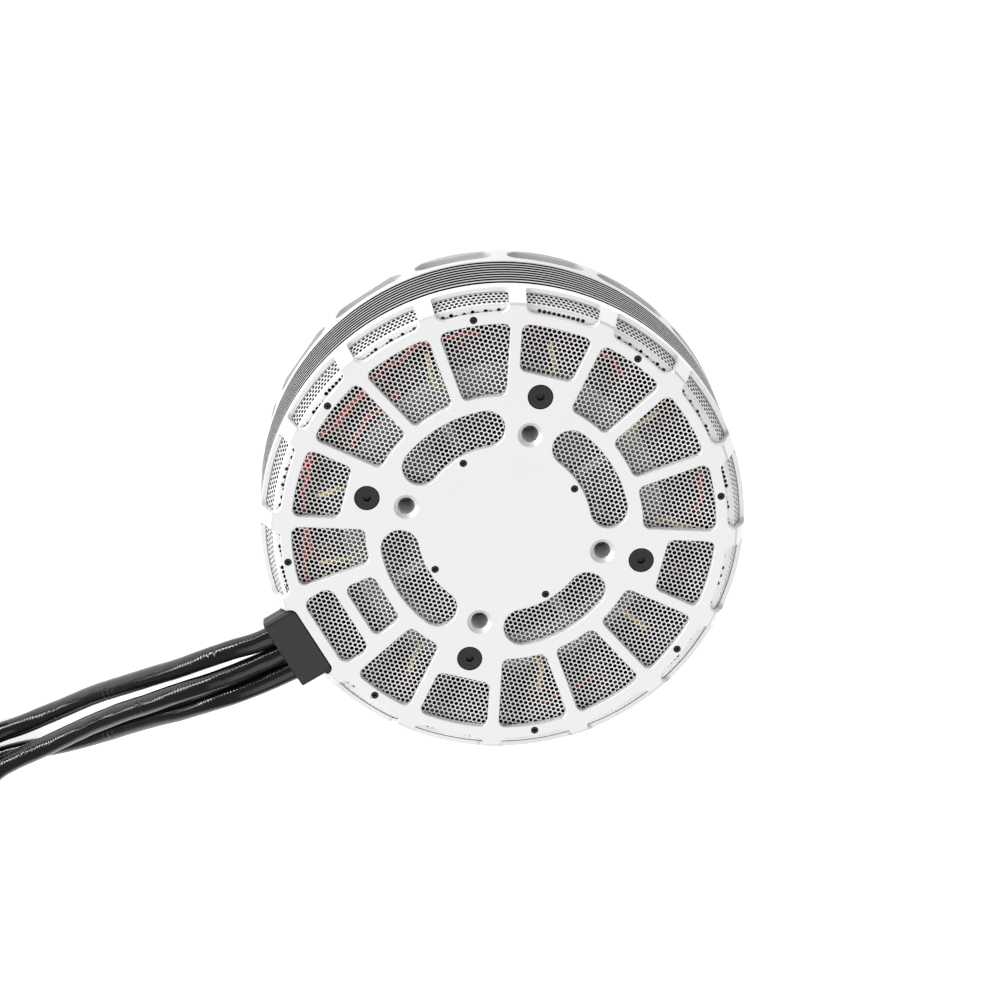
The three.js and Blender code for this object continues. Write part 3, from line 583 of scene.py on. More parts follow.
def sleeve_radii(number, count):
    """The sleeve's radius round the cable: slack in slow waves, with small pinches."""
    chance = random.Random(number)
    along = np.arange(count)[:, None] * SLEEVE_STEP
    around = np.linspace(0, 2 * math.pi, SLEEVE_SIDES, endpoint=False)[None, :]
    radii = np.full((count, SLEEVE_SIDES), CABLE_RADIUS)
    for _ in range(14):
        turns = chance.choice((1, 2, 3))
        wave = chance.uniform(9, 60)
        phase = chance.uniform(0, 2 * math.pi)
        radii += 0.015 * np.sin(along / wave * 2 * math.pi + turns * around + phase)
    for cable, distance in KINKS:
        if cable == number:
            angle = chance.uniform(-0.6, 0.6)
            turn = np.angle(np.exp(1j * (around - angle)))
            dent = np.exp(-((along - distance) / 2.2) ** 2 - (turn / 0.7) ** 2)
            radii -= 0.28 * dent * np.cos((along - distance) * 2.4 + 2 * turn)
    return radii


def braid_coordinates(obj, rows):
    """UV in millimetres: along the tube and round it. The braid closes on itself."""
    uv = obj.data.uv_layers.new(name="braid")
    round_mm = round(2 * math.pi * CABLE_RADIUS / BRAID_PITCH) * BRAID_PITCH
    values = []
    for i in range(rows - 1):
        for j in range(SLEEVE_SIDES):
            a, b = j / SLEEVE_SIDES * round_mm, (j + 1) / SLEEVE_SIDES * round_mm
            near, far = i * SLEEVE_STEP, (i + 1) * SLEEVE_STEP
            values += [near, a, near, b, far, b, far, a]
    values += [0.0] * (2 * len(uv.data) - len(values))
    uv.data.foreach_set("uv", values)


def phase_cable(number):
    line, end = cable_route(number)
    path = evenly_spaced(line, SLEEVE_STEP)
    mesh = tube_mesh(path, sleeve_radii(number, len(path)), SLEEVE_SIDES)
    cable = smooth(mesh_object(f"braided_cable_{number + 1}", *mesh, sleeve), 60)
    braid_coordinates(cable, len(path))
    stands_for(cable, "stator", "cable_sleeve", f"phase_cable_{number + 1}")
    return cable, path, end


def lathe_x(profile, sides, place):
    """A profile turned about the X direction: [distance along X, radius] from a place."""
    points = [(radius, along) for along, radius in profile]
    turn = Matrix.Translation(place) @ Matrix.Rotation(math.pi / 2, 4, "Y")
    return moved(lathe_mesh(points, sides), turn)


def bullet_connector(number, end):
    """A gold bullet: crimp barrel, collar and a sprung, slotted pin."""
    corners = [(0, 0, 0), (0, 3.9, 0.3), (12, 3.9, 0.2), (12, 4.3, 0.3), (14, 4.3, 0.3), (14, 3.3, 0.2),
               (15.5, 3.3, 1), (19, 3.9, 4), (24, 3.9, 3), (27, 2.4, 1.2), (27, 0, 0)]
    profile = filleted(corners, 4)
    place = Vector(end) + Vector((CLEARANCE, 0, 0))
    obj = mesh_object(f"gold_bullet_{number + 1}", *lathe_x(profile, 48, place), connector_gold)
    for degrees in (0, 90):
        turn = Matrix.Translation(place) @ Matrix.Rotation(math.radians(degrees), 4, "X")
        combine(obj, moved(box_mesh(15, 29, -5, 5, -0.3, 0.3), turn))
    smooth(obj, 35)
    return stands_for(obj, "stator", "connector_gold", f"bullet_connector_{number + 1}")


def heat_shrink(number, end):
    """A shrunk tube over the crimp, drawn in at both ends, with slow ripples."""
    half = 11
    stations = np.linspace(-half, half, 45)
    outside = [(s, 5.12 - 0.32 * (abs(s) / half) ** 6 - 0.03 * math.sin(s * 1.9)) for s in stations]
    inside = [(s, 4.62) for s in stations[::-1]]
    mesh = lathe_x(outside + inside, 48, Vector(end))
    name, node = f"shrink_sleeve_{number + 1}", f"heat_shrink_{number + 1}"
    return piece(name, mesh, shrink_black, 50, "stator", "shrink_black", node)


def hank_strap():
    """A hook-and-loop strap once round the hank, its tail lapped along the top."""
    reach = CABLE_RADIUS + STRAP["clearance"]
    low_y = min(RUN_Y) - reach
    high_y = 2 * LOOP["middle_y"] - low_y
    low_z, high_z = STRAP_Z - reach, STRAP_Z + reach
    thickness = STRAP["thickness"]

    def ring_outline(grown):
        y0, y1, z0, z1 = low_y - grown, high_y + grown, low_z - grown, high_z + grown
        corner = reach + grown - 0.1
        return filleted([(y0, z0, corner), (y1, z0, corner), (y1, z1, corner), (y0, z1, corner)], 10)

    ring, outer = ring_outline(0), ring_outline(thickness)
    stations = np.linspace(-STRAP["width"] / 2, STRAP["width"] / 2, 13)
    vertices, faces = [], []
    loops = []
    for points, order in ((outer, stations), (ring, stations[::-1])):
        for x in order:
            loops.append(len(vertices))
            vertices += [(STRAP["x"] + x, y, z) for y, z in points]
    count = len(ring)
    for a, b in zip(loops, loops[1:] + loops[:1]):
        faces += strip(a, b, count)
    tail_y0, tail_y1 = low_y + 8, low_y + 34
    tail = filleted([(-5.4, tail_y0, 1.5), (5.4, tail_y0, 1.5), (5.4, tail_y1, 2.5), (-5.4, tail_y1, 2.5)], 5)
    top = high_z + thickness
    tail_mesh = prism_mesh([(STRAP["x"] + x, y) for x, y in tail], top + 0.02, top + 0.75)
    mesh = joined([(vertices, faces), tail_mesh])
    return piece("hook_and_loop_strap", mesh, strap_weave, 40, "stator", "strap_black", "cable_strap")


def clamp_half(name, node, z0, z1, rounded_z):
    """Half of the cable clamp: long edges rounded over, three bores for the cables."""
    half, corner = CLAMP["half"], 3
    x0, x1 = CLAMP["x0"], CLAMP["x1"]
    plan = filleted([(x0, -half, 0), (x1, -half, corner), (x1, half, corner), (x0, half, 0)], 10)
    obj = mesh_object(name, *prism_mesh(plan, z0 - 5, z1 + 5), clamp_moulding)
    edges = [(-half, z0), (half, z0), (half, z1), (-half, z1)]
    section = filleted([(y, z, 2.2 if z == rounded_z else 0) for y, z in edges], 8)
    bar = prism_mesh(section, x0 - 5, x1 + 5)
    combine(obj, moved(bar, FACING_X), "INTERSECT")
    for y in CABLE_Y:
        bore = prism_mesh(arc((0, 0), CABLE_RADIUS + 0.12, 0, 2 * math.pi * 63 / 64, 63), x0 - 2, x1 + 2)
        combine(obj, moved(moved(bore, FACING_X), Matrix.Translation((0, y, CLAMP["middle"]))))
    eased(obj, 0.22)
    return stands_for(obj, "stator", "clamp_plastic", node)


def cables():
    middle = CLAMP["middle"]
    gap = CLEARANCE / 2
    top, bottom = CLAMP["top"], CLAMP["bottom"]
    upper = clamp_half("clamp_half_upper", "cable_clamp_upper", middle + gap, top, top)
    lower = clamp_half("clamp_half_lower", "cable_clamp_lower", bottom, middle - gap, bottom)
    strap = hank_strap()
    for number in range(3):
        cable, path, end = phase_cable(number)
        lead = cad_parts[f"phase_lead_{number + 1}"]
        pieces = [bullet_connector(number, end), heat_shrink(number, end), lead]
        if number == 1:
            pieces += [upper, lower, strap]
        tuple(c * MM for c in path[0])


cables()

# ---- outlines of the plate's openings ----

SECTORS = 16
PITCH = 360 / SECTORS
RIB, WIDE_RIB, RIM_RIB = 4.5, 10.6, 6.8
PLATE_THICKNESS = 3
PLATE_SCREW_CIRCLE = 56
MOUNT_HOLE_CIRCLE = 40
INNER_MESH_SCREW_CIRCLE = 32
OUTER_MESH_SCREW_CIRCLE = 86.45
MESH_SCREW_RADIUS = 1.38
CORNER_STEPS = 7


def sector_outline(inner, outer, ribs, corner, straight_inner=False, open_outer=False):
    """A window between two ribs, about the +X direction, its sides parallel to the ribs."""
    tilt = math.radians(PITCH / 2)

    def centre(radius, rib):
        offset = rib / 2 + corner
        if not straight_inner or radius > inner + corner:
            angle = tilt - math.asin(offset / radius)
            return radius * math.cos(angle), radius * math.sin(angle), angle
        along = (radius - offset * math.sin(tilt)) / math.cos(tilt)
        return radius, along * math.sin(tilt) - offset * math.cos(tilt), 0.0

    below, above = ribs
    x_above, y_above, in_above = centre(inner + corner, above)
    x_below, y_below, in_below = centre(inner + corner, below)
    side = math.pi / 2 + tilt
    last = []
    if open_outer:
        ends = [tilt - math.asin(rib / 2 / outer) for rib in ribs]
        points = arc((0, 0), outer, -ends[0], ends[1], 16)
    else:
        ax, ay, a = centre(outer - corner, above)
        bx, by, b = centre(outer - corner, below)
        points = arc((0, 0), outer, -b, a, 16)[1:-1]
        points += arc((ax, ay), corner, a, side, CORNER_STEPS)
        last = arc((bx, -by), corner, -side, -b, CORNER_STEPS)
    points += arc((x_above, y_above), corner, side, math.pi + in_above, CORNER_STEPS)
    if not straight_inner:
        points += arc((0, 0), inner, in_above, -in_below, 10)[1:-1]
    points += arc((x_below, -y_below), corner, math.pi - in_below, 2 * math.pi - side, CORNER_STEPS)
    return points + last


def kidney_outline(radius, half, sweep):
    """A slot bent along a circle, with round ends, about the +X direction."""
    end = math.radians(sweep)
    points = arc((0, 0), radius + half, -end, end, 16)[:-1]
    points += arc(polar(radius, sweep), half, end, end + math.pi, 14)[:-1]
    points += arc((0, 0), radius - half, end, -end, 12)[:-1]
    points += arc(polar(radius, -sweep), half, math.pi - end, 2 * math.pi - end, 14)[:-1]
    return points


def slot_outline(inner, outer, half):
    points = arc((outer - half, 0), half, -math.pi / 2, math.pi / 2, 12)
    return points + arc((inner + half, 0), half, math.pi / 2, 1.5 * math.pi, 12)


# ---- mounting plate ----


def face_surface(_x, _y):
    return FACE_Z


def rim_window():
    """The cutter for one rim window: rounded corners both in plan and above the skirt."""
    plan = sector_outline(88.5, 99, (RIM_RIB, RIM_RIB), 3.7, open_outer=True)
    obj = mesh_object("rim_window", *flared_mesh(plan, FACE_Z - 20, face_surface, beyond=1.5))
    half = OUTER_RADIUS * math.sin(math.radians(PITCH / 2)) - RIM_RIB / 2
    sill, high = FACE_Z - 10.3, FACE_Z + 3
    corners = [(-half, sill, 3.4), (half, sill, 3.4), (half + 3, high, 0), (-half - 3, high, 0)]
    combine(obj, moved(prism_mesh(filleted(corners, CORNER_STEPS), 60, 120), FACING_X), "INTERSECT")
    vertices = [tuple(v.co / MM) for v in obj.data.vertices]
    faces = [list(face.vertices) for face in obj.data.polygons]
    bpy.data.objects.remove(obj)
    return vertices, faces


def plate_windows():
    """All openings of the plate. The sector at the cable clamp has wider ribs and straight windows."""
    under = FACE_Z - PLATE_THICKNESS - 1
    outlines = []
    for degrees in evenly(SECTORS):
        if degrees == 180:
            continue
        beside_screw = degrees % 90 == 45
        ribs = [WIDE_RIB if degrees == beside_clamp else RIB for beside_clamp in (180 + PITCH, 180 - PITCH)]
        inner = 64.6 if beside_screw else 55
        outlines.append((sector_outline(inner, 84, ribs, 2.8, straight_inner=beside_screw), degrees))
    split = [(-83.8, -15.6, 4), (-71.3, -15.6, 4), (-71.3, 15.6, 4), (-83.8, 15.6, 4)]
    narrow = [(-66.8, -12.2, 3), (-54.4, -10.6, 3), (-54.4, 10.6, 3), (-66.8, 12.2, 3)]
    outlines += [(filleted(corners, CORNER_STEPS), 0) for corners in (split, narrow)]
    outlines += [(kidney_outline(42, 7.45, 20.8), degrees) for degrees in evenly(4)]
    cuts = [turned_to(flared_mesh(outline, under, face_surface), degrees) for outline, degrees in outlines]
    rim = rim_window()
    cuts += [turned_to(rim, degrees) for degrees in evenly(SECTORS) if degrees != 180]
    return cuts


def mesh_screw_places():
    inner = [polar(INNER_MESH_SCREW_CIRCLE, a) for a in evenly(4)]
    return inner + [polar(OUTER_MESH_SCREW_CIRCLE, a) for a in evenly(8, PITCH)]


def countersink(under, radius, depth, mouth):
    """A hole's cutter that widens to its mouth at the mounting face."""
    above = FACE_Z + 1
    hole = [(0, under), (radius, under), (radius, FACE_Z - depth)]
    return lathe_mesh([*hole, (mouth, FACE_Z), (mouth + 1, above), (0, above)], 64)


def plate_holes():
    """Mounting holes with a wide chamfered mouth, screw seats and tapped holes."""
    under = FACE_Z - PLATE_THICKNESS - 4
    cuts = []
    for degrees in evenly(4, 45):
        cuts.append(placed(countersink(under, 3.4, 1.6, 5), polar(MOUNT_HOLE_CIRCLE, degrees)))
        cuts.append(placed(countersink(under, 2.7, 2.3, 5.05), polar(PLATE_SCREW_CIRCLE, degrees)))
    for place in mesh_screw_places():
        cuts.append(pin_mesh(MESH_SCREW_RADIUS + 0.15, under, FACE_Z + 1, place, 24))
    return cuts


def from_nearest_hole(point, circle):
    """Distance to the nearest of the four holes on a circle."""
    return min(math.hypot(point.x - x, point.y - y) for x, y in (polar(circle, a) for a in evenly(4, 45)))


# Painted shade: faces of a countersunk screw's seat, coloured black for the dark gap round its head.
def in_screw_seat_painted_shade(point):
    return point.z < FACE_Z - 0.05 and from_nearest_hole(point, PLATE_SCREW_CIRCLE) < 5.1


def in_mounting_hole(point):
    return point.z < FACE_Z - 0.12 and from_nearest_hole(point, MOUNT_HOLE_CIRCLE) < 3.6


def mounting_plate():
    under = FACE_Z - PLATE_THICKNESS
    skirt_top, skirt_bottom = FACE_Z - 9.5, FACE_Z - 16.5
    boss = [(0, FACE_Z - 6, 0), (28, FACE_Z - 6, 0.4), (28, under, 0.5)]
    inside = [(91.3, under, 0.8), (94.4, skirt_top - 1, 1), (94.4, skirt_bottom, 0.15)]
    outside = [(OUTER_RADIUS, skirt_bottom, 0.45), (OUTER_RADIUS, skirt_top, 3), (92.3, FACE_Z, 1.6)]
    profile = filleted([*boss, *inside, *outside, (0, FACE_Z, 0)], 5)
    obj = mesh_object("plate_casting", *lathe_mesh(profile, 288), plate_metal, hole_metal, black_finish_and_painted_shade)
    combine(obj, joined(plate_windows()))
    combine(obj, joined(plate_holes()))
    gap = 0.55
    half, inner = CLAMP["half"] + gap, CLAMP["x1"] + gap
    seat = filleted([(-110, -half, 0), (inner, -half, 3), (inner, half, 3), (-110, half, 0)], 8)
    combine(obj, prism_mesh(seat, CLAMP["bottom"] - gap, FACE_Z + 1))
    smooth(obj, 30)
    repaint(obj, 1, in_mounting_hole)
    # Painted shade: the screw seats are coloured black to stand for the gap round the screw heads.
    repaint(obj, 2, in_screw_seat_painted_shade)
    stands_for(obj, "stator", "plate_aluminium", "mount_plate")


mounting_plate()

# ---- perforated screen ----

SCREEN = {"pitch": 1.935, "hole": 0.82, "thickness": 0.35, "inner": 30, "flat": 90.1, "bend": 1.5}
FLANGE = {"tilt": math.radians(22.4), "length": 6.9, "rows": 4}
SCREEN_TOP = FACE_Z - PLATE_THICKNESS - CLEARANCE
ROW_DEGREES = -45  # way of the rows of holes


def tile_faces(top, hole, count):
    """The faces of one holed hexagon: a ring of quads on each side and the hole's wall."""
    faces = []
    for j in range(12):
        k = (j + 1) % 12
        faces.append([top[j], top[k], hole[k], hole[j]])
        faces.append([hole[j], hole[k], hole[k] + count, hole[j] + count])
        faces.append([top[k] + count, top[j] + count, hole[j] + count, hole[k] + count])
    return faces


def perforated(centres, row_degrees, hexagon_size):
    """Flat points, tiles and holes of a hexagonal lattice. A tile is a hexagon with a round hole."""
    angles = np.radians(row_degrees + 30 * np.arange(12))
    reach = np.where(np.arange(12) % 2 == 0, hexagon_size / 2, hexagon_size / math.sqrt(3))
    rim = np.column_stack((np.cos(angles), np.sin(angles)))
    corners = (centres[:, None] + rim[None] * reach[None, :, None]).reshape(-1, 2)
    holes = (centres[:, None] + rim[None] * SCREEN["hole"]).reshape(-1, 2)
    _, first, back = np.unique(np.round(corners, 3), axis=0, return_index=True, return_inverse=True)
    edge_points = corners[first]
    tiles = back.reshape(-1, 12)
    return edge_points, holes, tiles


def outer_edges(tiles):
    """Edges that only one tile has, in that tile's order."""
    seen = {}
    for tile in tiles:
        for a, b in zip(tile, np.roll(tile, -1)):
            seen[(int(a), int(b))] = True
    return [edge for edge in seen if (edge[1], edge[0]) not in seen]


def screen_solid(name, edge_points, holes, tiles, to_space):
    """A closed sheet from tiles. to_space places flat points on the sheet's outer or inner side."""
    used = np.unique(tiles)
    renumber = np.full(len(edge_points), -1)
    renumber[used] = np.arange(len(used))
    tiles = renumber[tiles]
    flat = np.vstack((edge_points[used], holes))
    count = len(flat)
    vertices = np.vstack((to_space(flat, 0.0), to_space(flat, SCREEN["thickness"])))
    faces = []
    for i, tile in enumerate(tiles.tolist()):
        first = len(used) + 12 * i
        faces += tile_faces(tile, range(first, first + 12), count)
    faces += [[b, a, a + count, b + count] for a, b in outer_edges(tiles)]
    piece(name, (vertices, faces), screen_metal, 40, "stator", "screen_steel", "mesh_screen")


def screen_disc():
    """The flat of the screen, in four quarters, clear of the pillars under the plate."""
    pitch = SCREEN["pitch"]
    step_a = np.array(polar(pitch, ROW_DEGREES))
    step_b = np.array(polar(pitch, ROW_DEGREES + 60))
    span = int(SCREEN["flat"] / pitch * 1.3)
    grid = np.array([(i, j) for i in range(-span, span + 1) for j in range(-span, span + 1)])
    centres = grid[:, :1] * step_a + grid[:, 1:] * step_b
    distance = np.linalg.norm(centres, axis=1)
    keep = (distance > SCREEN["inner"] + 1.1) & (distance < SCREEN["flat"] - 0.85)
    keep &= ~((centres[:, 0] < -87) & (abs(centres[:, 1]) < CLAMP["half"] + 1))
    for degrees in evenly(4, 45):
        for circle, clear in ((MOUNT_HOLE_CIRCLE, 6), (PLATE_SCREW_CIRCLE, 4.4)):
            away = np.linalg.norm(centres - np.array(polar(circle, degrees)), axis=1)
            keep &= away > clear
    centres = centres[keep]
    edge_points, holes, tiles = perforated(centres, ROW_DEGREES, pitch)
    for index in {i for edge in outer_edges(tiles) for i in edge}:
        point = edge_points[index]
        distance = np.linalg.norm(point)
        if point[0] > -86 and distance > SCREEN["flat"] - 3:
            edge_points[index] = point / distance * SCREEN["flat"]
        elif distance < SCREEN["inner"] + 3:
            edge_points[index] = point / distance * SCREEN["inner"]

    def to_space(flat, depth):
        return np.column_stack((flat, np.full(len(flat), SCREEN_TOP - depth)))

    quarter = (np.degrees(np.arctan2(centres[:, 1], centres[:, 0])) // 90).astype(int) % 4
    for number in range(4):
        mine = quarter == number
        my_holes = holes.reshape(-1, 12, 2)[mine].reshape(-1, 2)
        screen_solid(f"screen_quarter_{number + 1}", edge_points, my_holes, tiles[mine], to_space)


def screen_flange():
    """The screen's edge: rows of holes round a cone inside the plate's rim, cut away at the clamp."""
    tilt, bend = FLANGE["tilt"], SCREEN["bend"]
    radius = SCREEN["flat"] + bend * math.cos(tilt)
    columns = round(2 * math.pi * radius / SCREEN["pitch"])
    pitch = 2 * math.pi * radius / columns
    cone_top = SCREEN_TOP - bend * (1 - math.sin(tilt))
    top_row = cone_top - 0.85
    gap = math.asin((CLAMP["half"] + 0.6) / radius)
    centres = []
    for row in range(FLANGE["rows"]):
        for column in range(columns):
            along = (column + 0.5 * (row % 2)) * pitch
            if abs(along - math.pi * radius) > gap * radius:
                centres.append((along, top_row - row * pitch * math.sqrt(3) / 2))
    centres = np.array(centres)
    edge_points, holes, tiles = perforated(centres, 0, pitch)
    edge_points[edge_points[:, 1] > top_row + 0.5, 1] = cone_top
    edge_points[edge_points[:, 1] < centres[:, 1].min() - 0.5, 1] = cone_top - FLANGE["length"]

    def to_space(flat, depth):
        angle = flat[:, 0] / radius
        down = cone_top - flat[:, 1]
        reach = radius + down * math.sin(tilt) - depth * math.cos(tilt)
        height = cone_top - down * math.cos(tilt) - depth * math.sin(tilt)
        return np.column_stack((reach * np.cos(angle), reach * np.sin(angle), height))

    screen_solid("screen_flange", edge_points, holes, tiles, to_space)


def screen_bend():
    """The rounded edge between the screen's flat and its flange, open at the clamp."""
    bend, thickness = SCREEN["bend"], SCREEN["thickness"]
    centre = (SCREEN["flat"], SCREEN_TOP - bend)
    inner = arc(centre, bend - thickness, math.pi / 2, FLANGE["tilt"], 5)
    outer = arc(centre, bend, FLANGE["tilt"], math.pi / 2, 6)
    obj = mesh_object("screen_bend", *lathe_mesh(inner + outer, 288), screen_metal)
    combine(obj, box_mesh(-100, -80, -CLAMP["half"] - 0.5, CLAMP["half"] + 0.5, 50, 80))
    smooth(obj, 40)
    stands_for(obj, "stator", "screen_steel", "mesh_screen")


screen_disc()
screen_flange()
screen_bend()

# ---- screws ----


def hexagon(across_flats, turn=0.0):
    reach = across_flats / math.sqrt(3)
    return [polar(reach, a) for a in evenly(6, turn)]


def screw(names, body, place, mesh, socket, ease=0.0):
    """A black screw with a hexagon socket, for names (piece, CAD node). ease rounds its edges."""
    name, node = names
    obj = mesh_object(name, *mesh, screw_black)
    combine(obj, socket)
    if ease:
        eased(obj, ease, 30)
    else:
        smooth(obj, 35)
    obj.data.transform(Matrix.Translation(Vector((*place, 0)) * MM))
    stands_for(obj, body, "black_steel", node)


def countersunk_screw(number, degrees):
    """A countersunk socket screw with a raised ring round its socket."""
    top = FACE_Z - 0.15
    stem = [(0, top - 10.8, 0), (2.0, top - 10.8, 0.3), (2.4, top - 10.2, 0.3), (2.4, top - 2.45, 0.2)]
    head = [(4.75, top - 0.25, 0.15), (4.75, top, 0.12), (3.05, top, 0), (2.95, top - 0.12, 0)]
    profile = filleted([*stem, *head, (0, top - 0.12, 0)], 4)
    names = f"countersunk_screw_{number}", f"plate_screw_{number}"
    socket = prism_mesh(hexagon(3.1, 20), top - 1.8, top + 1)
    screw(names, "stator", polar(PLATE_SCREW_CIRCLE, degrees), lathe_mesh(profile, 64), socket, 0.07)


def set_screw(number, name, place):
    """A small set screw with a hexagon socket, sunk in its hole. Each is turned differently."""
    top, bottom = FACE_Z - 0.25, FACE_Z - PLATE_THICKNESS + 0.2
    radius = MESH_SCREW_RADIUS
    profile = filleted([(0, bottom, 0), (radius, bottom, 0.25), (radius, top, 0.3), (0, top, 0)], 4)
    socket = prism_mesh(hexagon(1.3, 17 * number), top - 1.1, top + 1)
    screw((f"set_screw_{name}", f"mesh_screw_{name}"), "stator", place, lathe_mesh(profile, 32), socket)


def hole_sleeve(number, degrees):
    """A bright sleeve pressed into a mounting hole."""
    outer, inner, bottom, lip = 3.38, 3.1, 54.3, 67.6
    profile = [(outer, bottom), (outer, lip), (3.3, 67.8), (3.2, lip), (inner, 67.2), (inner, bottom)]
    obj = piece(f"hole_sleeve_{number}", lathe_mesh(profile, 64), hole_metal, 30, "stator", "bearing_steel")
    obj.data.transform(Matrix.Translation(Vector((*polar(MOUNT_HOLE_CIRCLE, degrees), 0)) * MM))


for index, angle in enumerate(evenly(4, 45)):
    countersunk_screw(index + 1, angle)
    hole_sleeve(index + 1, angle)
for index, spot in enumerate(mesh_screw_places()):
    set_screw(index, f"inner_{index + 1}" if index < 4 else f"outer_{index - 3}", spot)

# ---- rotor ----

BAND = {"z0": 20, "z1": 52.5, "inner": 90.3}
GROOVE = {"count": 8, "pitch": 3.68, "width": 2.4, "depth": 1.7, "first_top": FACE_Z - 20.7}
POCKET_TURN = 2.4  # of the cap against the plate


def rotor_band():
    """The rotor's outer band. Its square grooves are black, a dark finish that also paints their shade; its
    stepped top is black as painted shade of the gap under the plate's skirt.
    """
    edge = OUTER_RADIUS
    corners = [(BAND["inner"], BAND["z0"], 0.2), (edge, BAND["z0"], 0.3)]
    for i in reversed(range(GROOVE["count"])):
        top = GROOVE["first_top"] - i * GROOVE["pitch"]
        bottom = top - GROOVE["width"]
        floor = edge - GROOVE["depth"]
        corners += [(edge, bottom, 0.06), (floor, bottom, 0.2), (floor, top, 0.2), (edge, top, 0.06)]
    step_z, step_radius = BAND["z1"] - 1.3, edge - 0.4
    corners += [(edge, step_z, 0.06), (step_radius, step_z, 0), (step_radius, BAND["z1"], 0),
                (BAND["inner"], BAND["z1"], 0.2)]
    obj = mesh_object("finned_band", *lathe_mesh(filleted(corners, 2), 256), band_metal, black_finish_and_painted_shade)
    smooth(obj, 40)

    # Painted shade: groove faces and the stepped top go black, the top for the dark gap between band and
    # skirt.
    def painted(point):
        in_groove = edge - 1.9 < math.hypot(point.x, point.y) < edge - 0.06 and point.z > BAND["z0"] + 0.3
        return in_groove or point.z > BAND["z1"] - 0.05

    repaint(obj, 1, painted)
    stands_for(obj, "rotor", "band_steel", "flux_ring")


def magnet_blocks():
    """Plated magnets side by side inside the band."""
    count, inner, outer = 42, 86.6, 89.6
    half = math.degrees(math.pi / count) - 0.35
    block = [polar(outer, -half), polar(outer, 0), polar(outer, half), polar(inner, half), polar(inner, 0),
             polar(inner, -half)]
    blocks = [turned_to(prism_mesh(block, BAND["z0"] + 0.5, BAND["z1"] - 4), a) for a in evenly(count)]
    obj = mesh_object("magnet_blocks", *joined(blocks), magnet_plating)
    eased(obj, 0.25)
    stands_for(obj, "rotor", "magnet_nickel", "magnet_ring")


def pocket_mesh(degrees):
    """A blind pocket with round ends in the cap's side, chamfered at its mouth."""
    z0, z1, floor_x, rib = 4.6, 14.6, 90.2, 5.8
    half_height = (z1 - z0) / 2
    half_length = OUTER_RADIUS * math.sin(math.radians(PITCH / 2)) - rib / 2
    radius = half_height - 0.05
    outline = filleted([(-half_length, -half_height, radius), (half_length, -half_height, radius),
                        (half_length, half_height, radius), (-half_length, half_height, radius)], 8)

    def side(y, _z):
        return math.sqrt(OUTER_RADIUS**2 - y**2)

    outward = Matrix.Translation((0, 0, (z0 + z1) / 2)) @ FACING_X
    return turned_to(moved(flared_mesh(outline, floor_x, side), outward), degrees)


def cap_screw_places():
    return [polar(92.4, a) for a in evenly(8, PITCH / 2 + POCKET_TURN)]


def hub_screw_places():
    return [polar(13.6, a) for a in evenly(4, 45)]


def rotor_cap():
    """The cap that the motor lies on: hub, sixteen slots, and pockets round its side."""
    top = BAND["z0"] - CLEARANCE
    foot = [(10.2, 0, 0.3), (40, 0, 0.3), (41.2, 1.0, 0.3), (83.4, 1.0, 0.3), (84.6, 0, 0.3)]
    side = [(OUTER_RADIUS, 0, 3), (OUTER_RADIUS, top, 0.3), (BAND["inner"], top, 0.2), (88, top - 3, 0.3)]
    inside = [(88, 5, 2), (42, 5, 1), (40, 6, 0.5), (10.2, 6, 0.2)]
    profile = filleted([*foot, *side, *inside], 5)
    obj = mesh_object("slotted_cap", *lathe_mesh(profile, 288), cap_metal)
    combine(obj, joined([pocket_mesh(a) for a in evenly(SECTORS, POCKET_TURN)]))
    slot = flared_mesh(slot_outline(44, 80, 6), -7, lambda _x, _y: -1.0)
    under = moved(slot, Matrix.Rotation(math.pi, 4, "X"))
    combine(obj, joined([turned_to(under, a) for a in evenly(SECTORS, POCKET_TURN)]))
    cap_seat = [(0, -1), (2.6, -1), (2.6, 3.5), (1.65, 3.5), (1.65, top + 1), (0, top + 1)]
    hub_seat = [(0, -1), (4.7, -1), (1.8, 2), (1.8, 8), (0, 8)]
    open_hole = [(0, -1), (3.9, -1), (2.6, 0.4), (2.6, 8), (0, 8)]
    open_places = [polar(27, a) for a in evenly(6)]
    groups = (cap_seat, cap_screw_places()), (hub_seat, hub_screw_places()), (open_hole, open_places)
    combine(obj, joined([placed(lathe_mesh(hole, 32), spot) for hole, places in groups for spot in places]))
    smooth(obj, 30)
    stands_for(obj, "rotor", "cap_aluminium", "rotor_cap")


def cap_screw(number, place):
    """A socket-head screw that holds the cap to the band, seen from below."""
    head = [(0, 0.3, 0), (2.4, 0.3, 0.3), (2.4, 3, 0.15), (1.4, 3, 0.15)]
    corners = [*head, (1.4, 31.6, 0.3), (0, 31.6, 0)]
    names = f"socket_screw_{number}", f"cap_screw_{number}"
    socket = prism_mesh(hexagon(2.5, 11 * number), -1, 1.8)
    screw(names, "rotor", place, lathe_mesh(filleted(corners, 3), 40), socket, 0.08)


def hub_screw(number, place):
    """A countersunk screw that holds the cap's hub to the shaft."""
    head = [(0, 0.2, 0), (3.3, 0.2, 0.12), (3.3, 0.45, 0.12), (1.6, 2.1, 0.1)]
    corners = [*head, (1.6, 8.4, 0.2), (0, 8.4, 0)]
    names = f"hub_countersunk_screw_{number}", f"hub_screw_{number}"
    socket = prism_mesh(hexagon(2.0, 13 * number), -1, 1.5)
    screw(names, "rotor", place, lathe_mesh(filleted(corners, 3), 40), socket, 0.07)


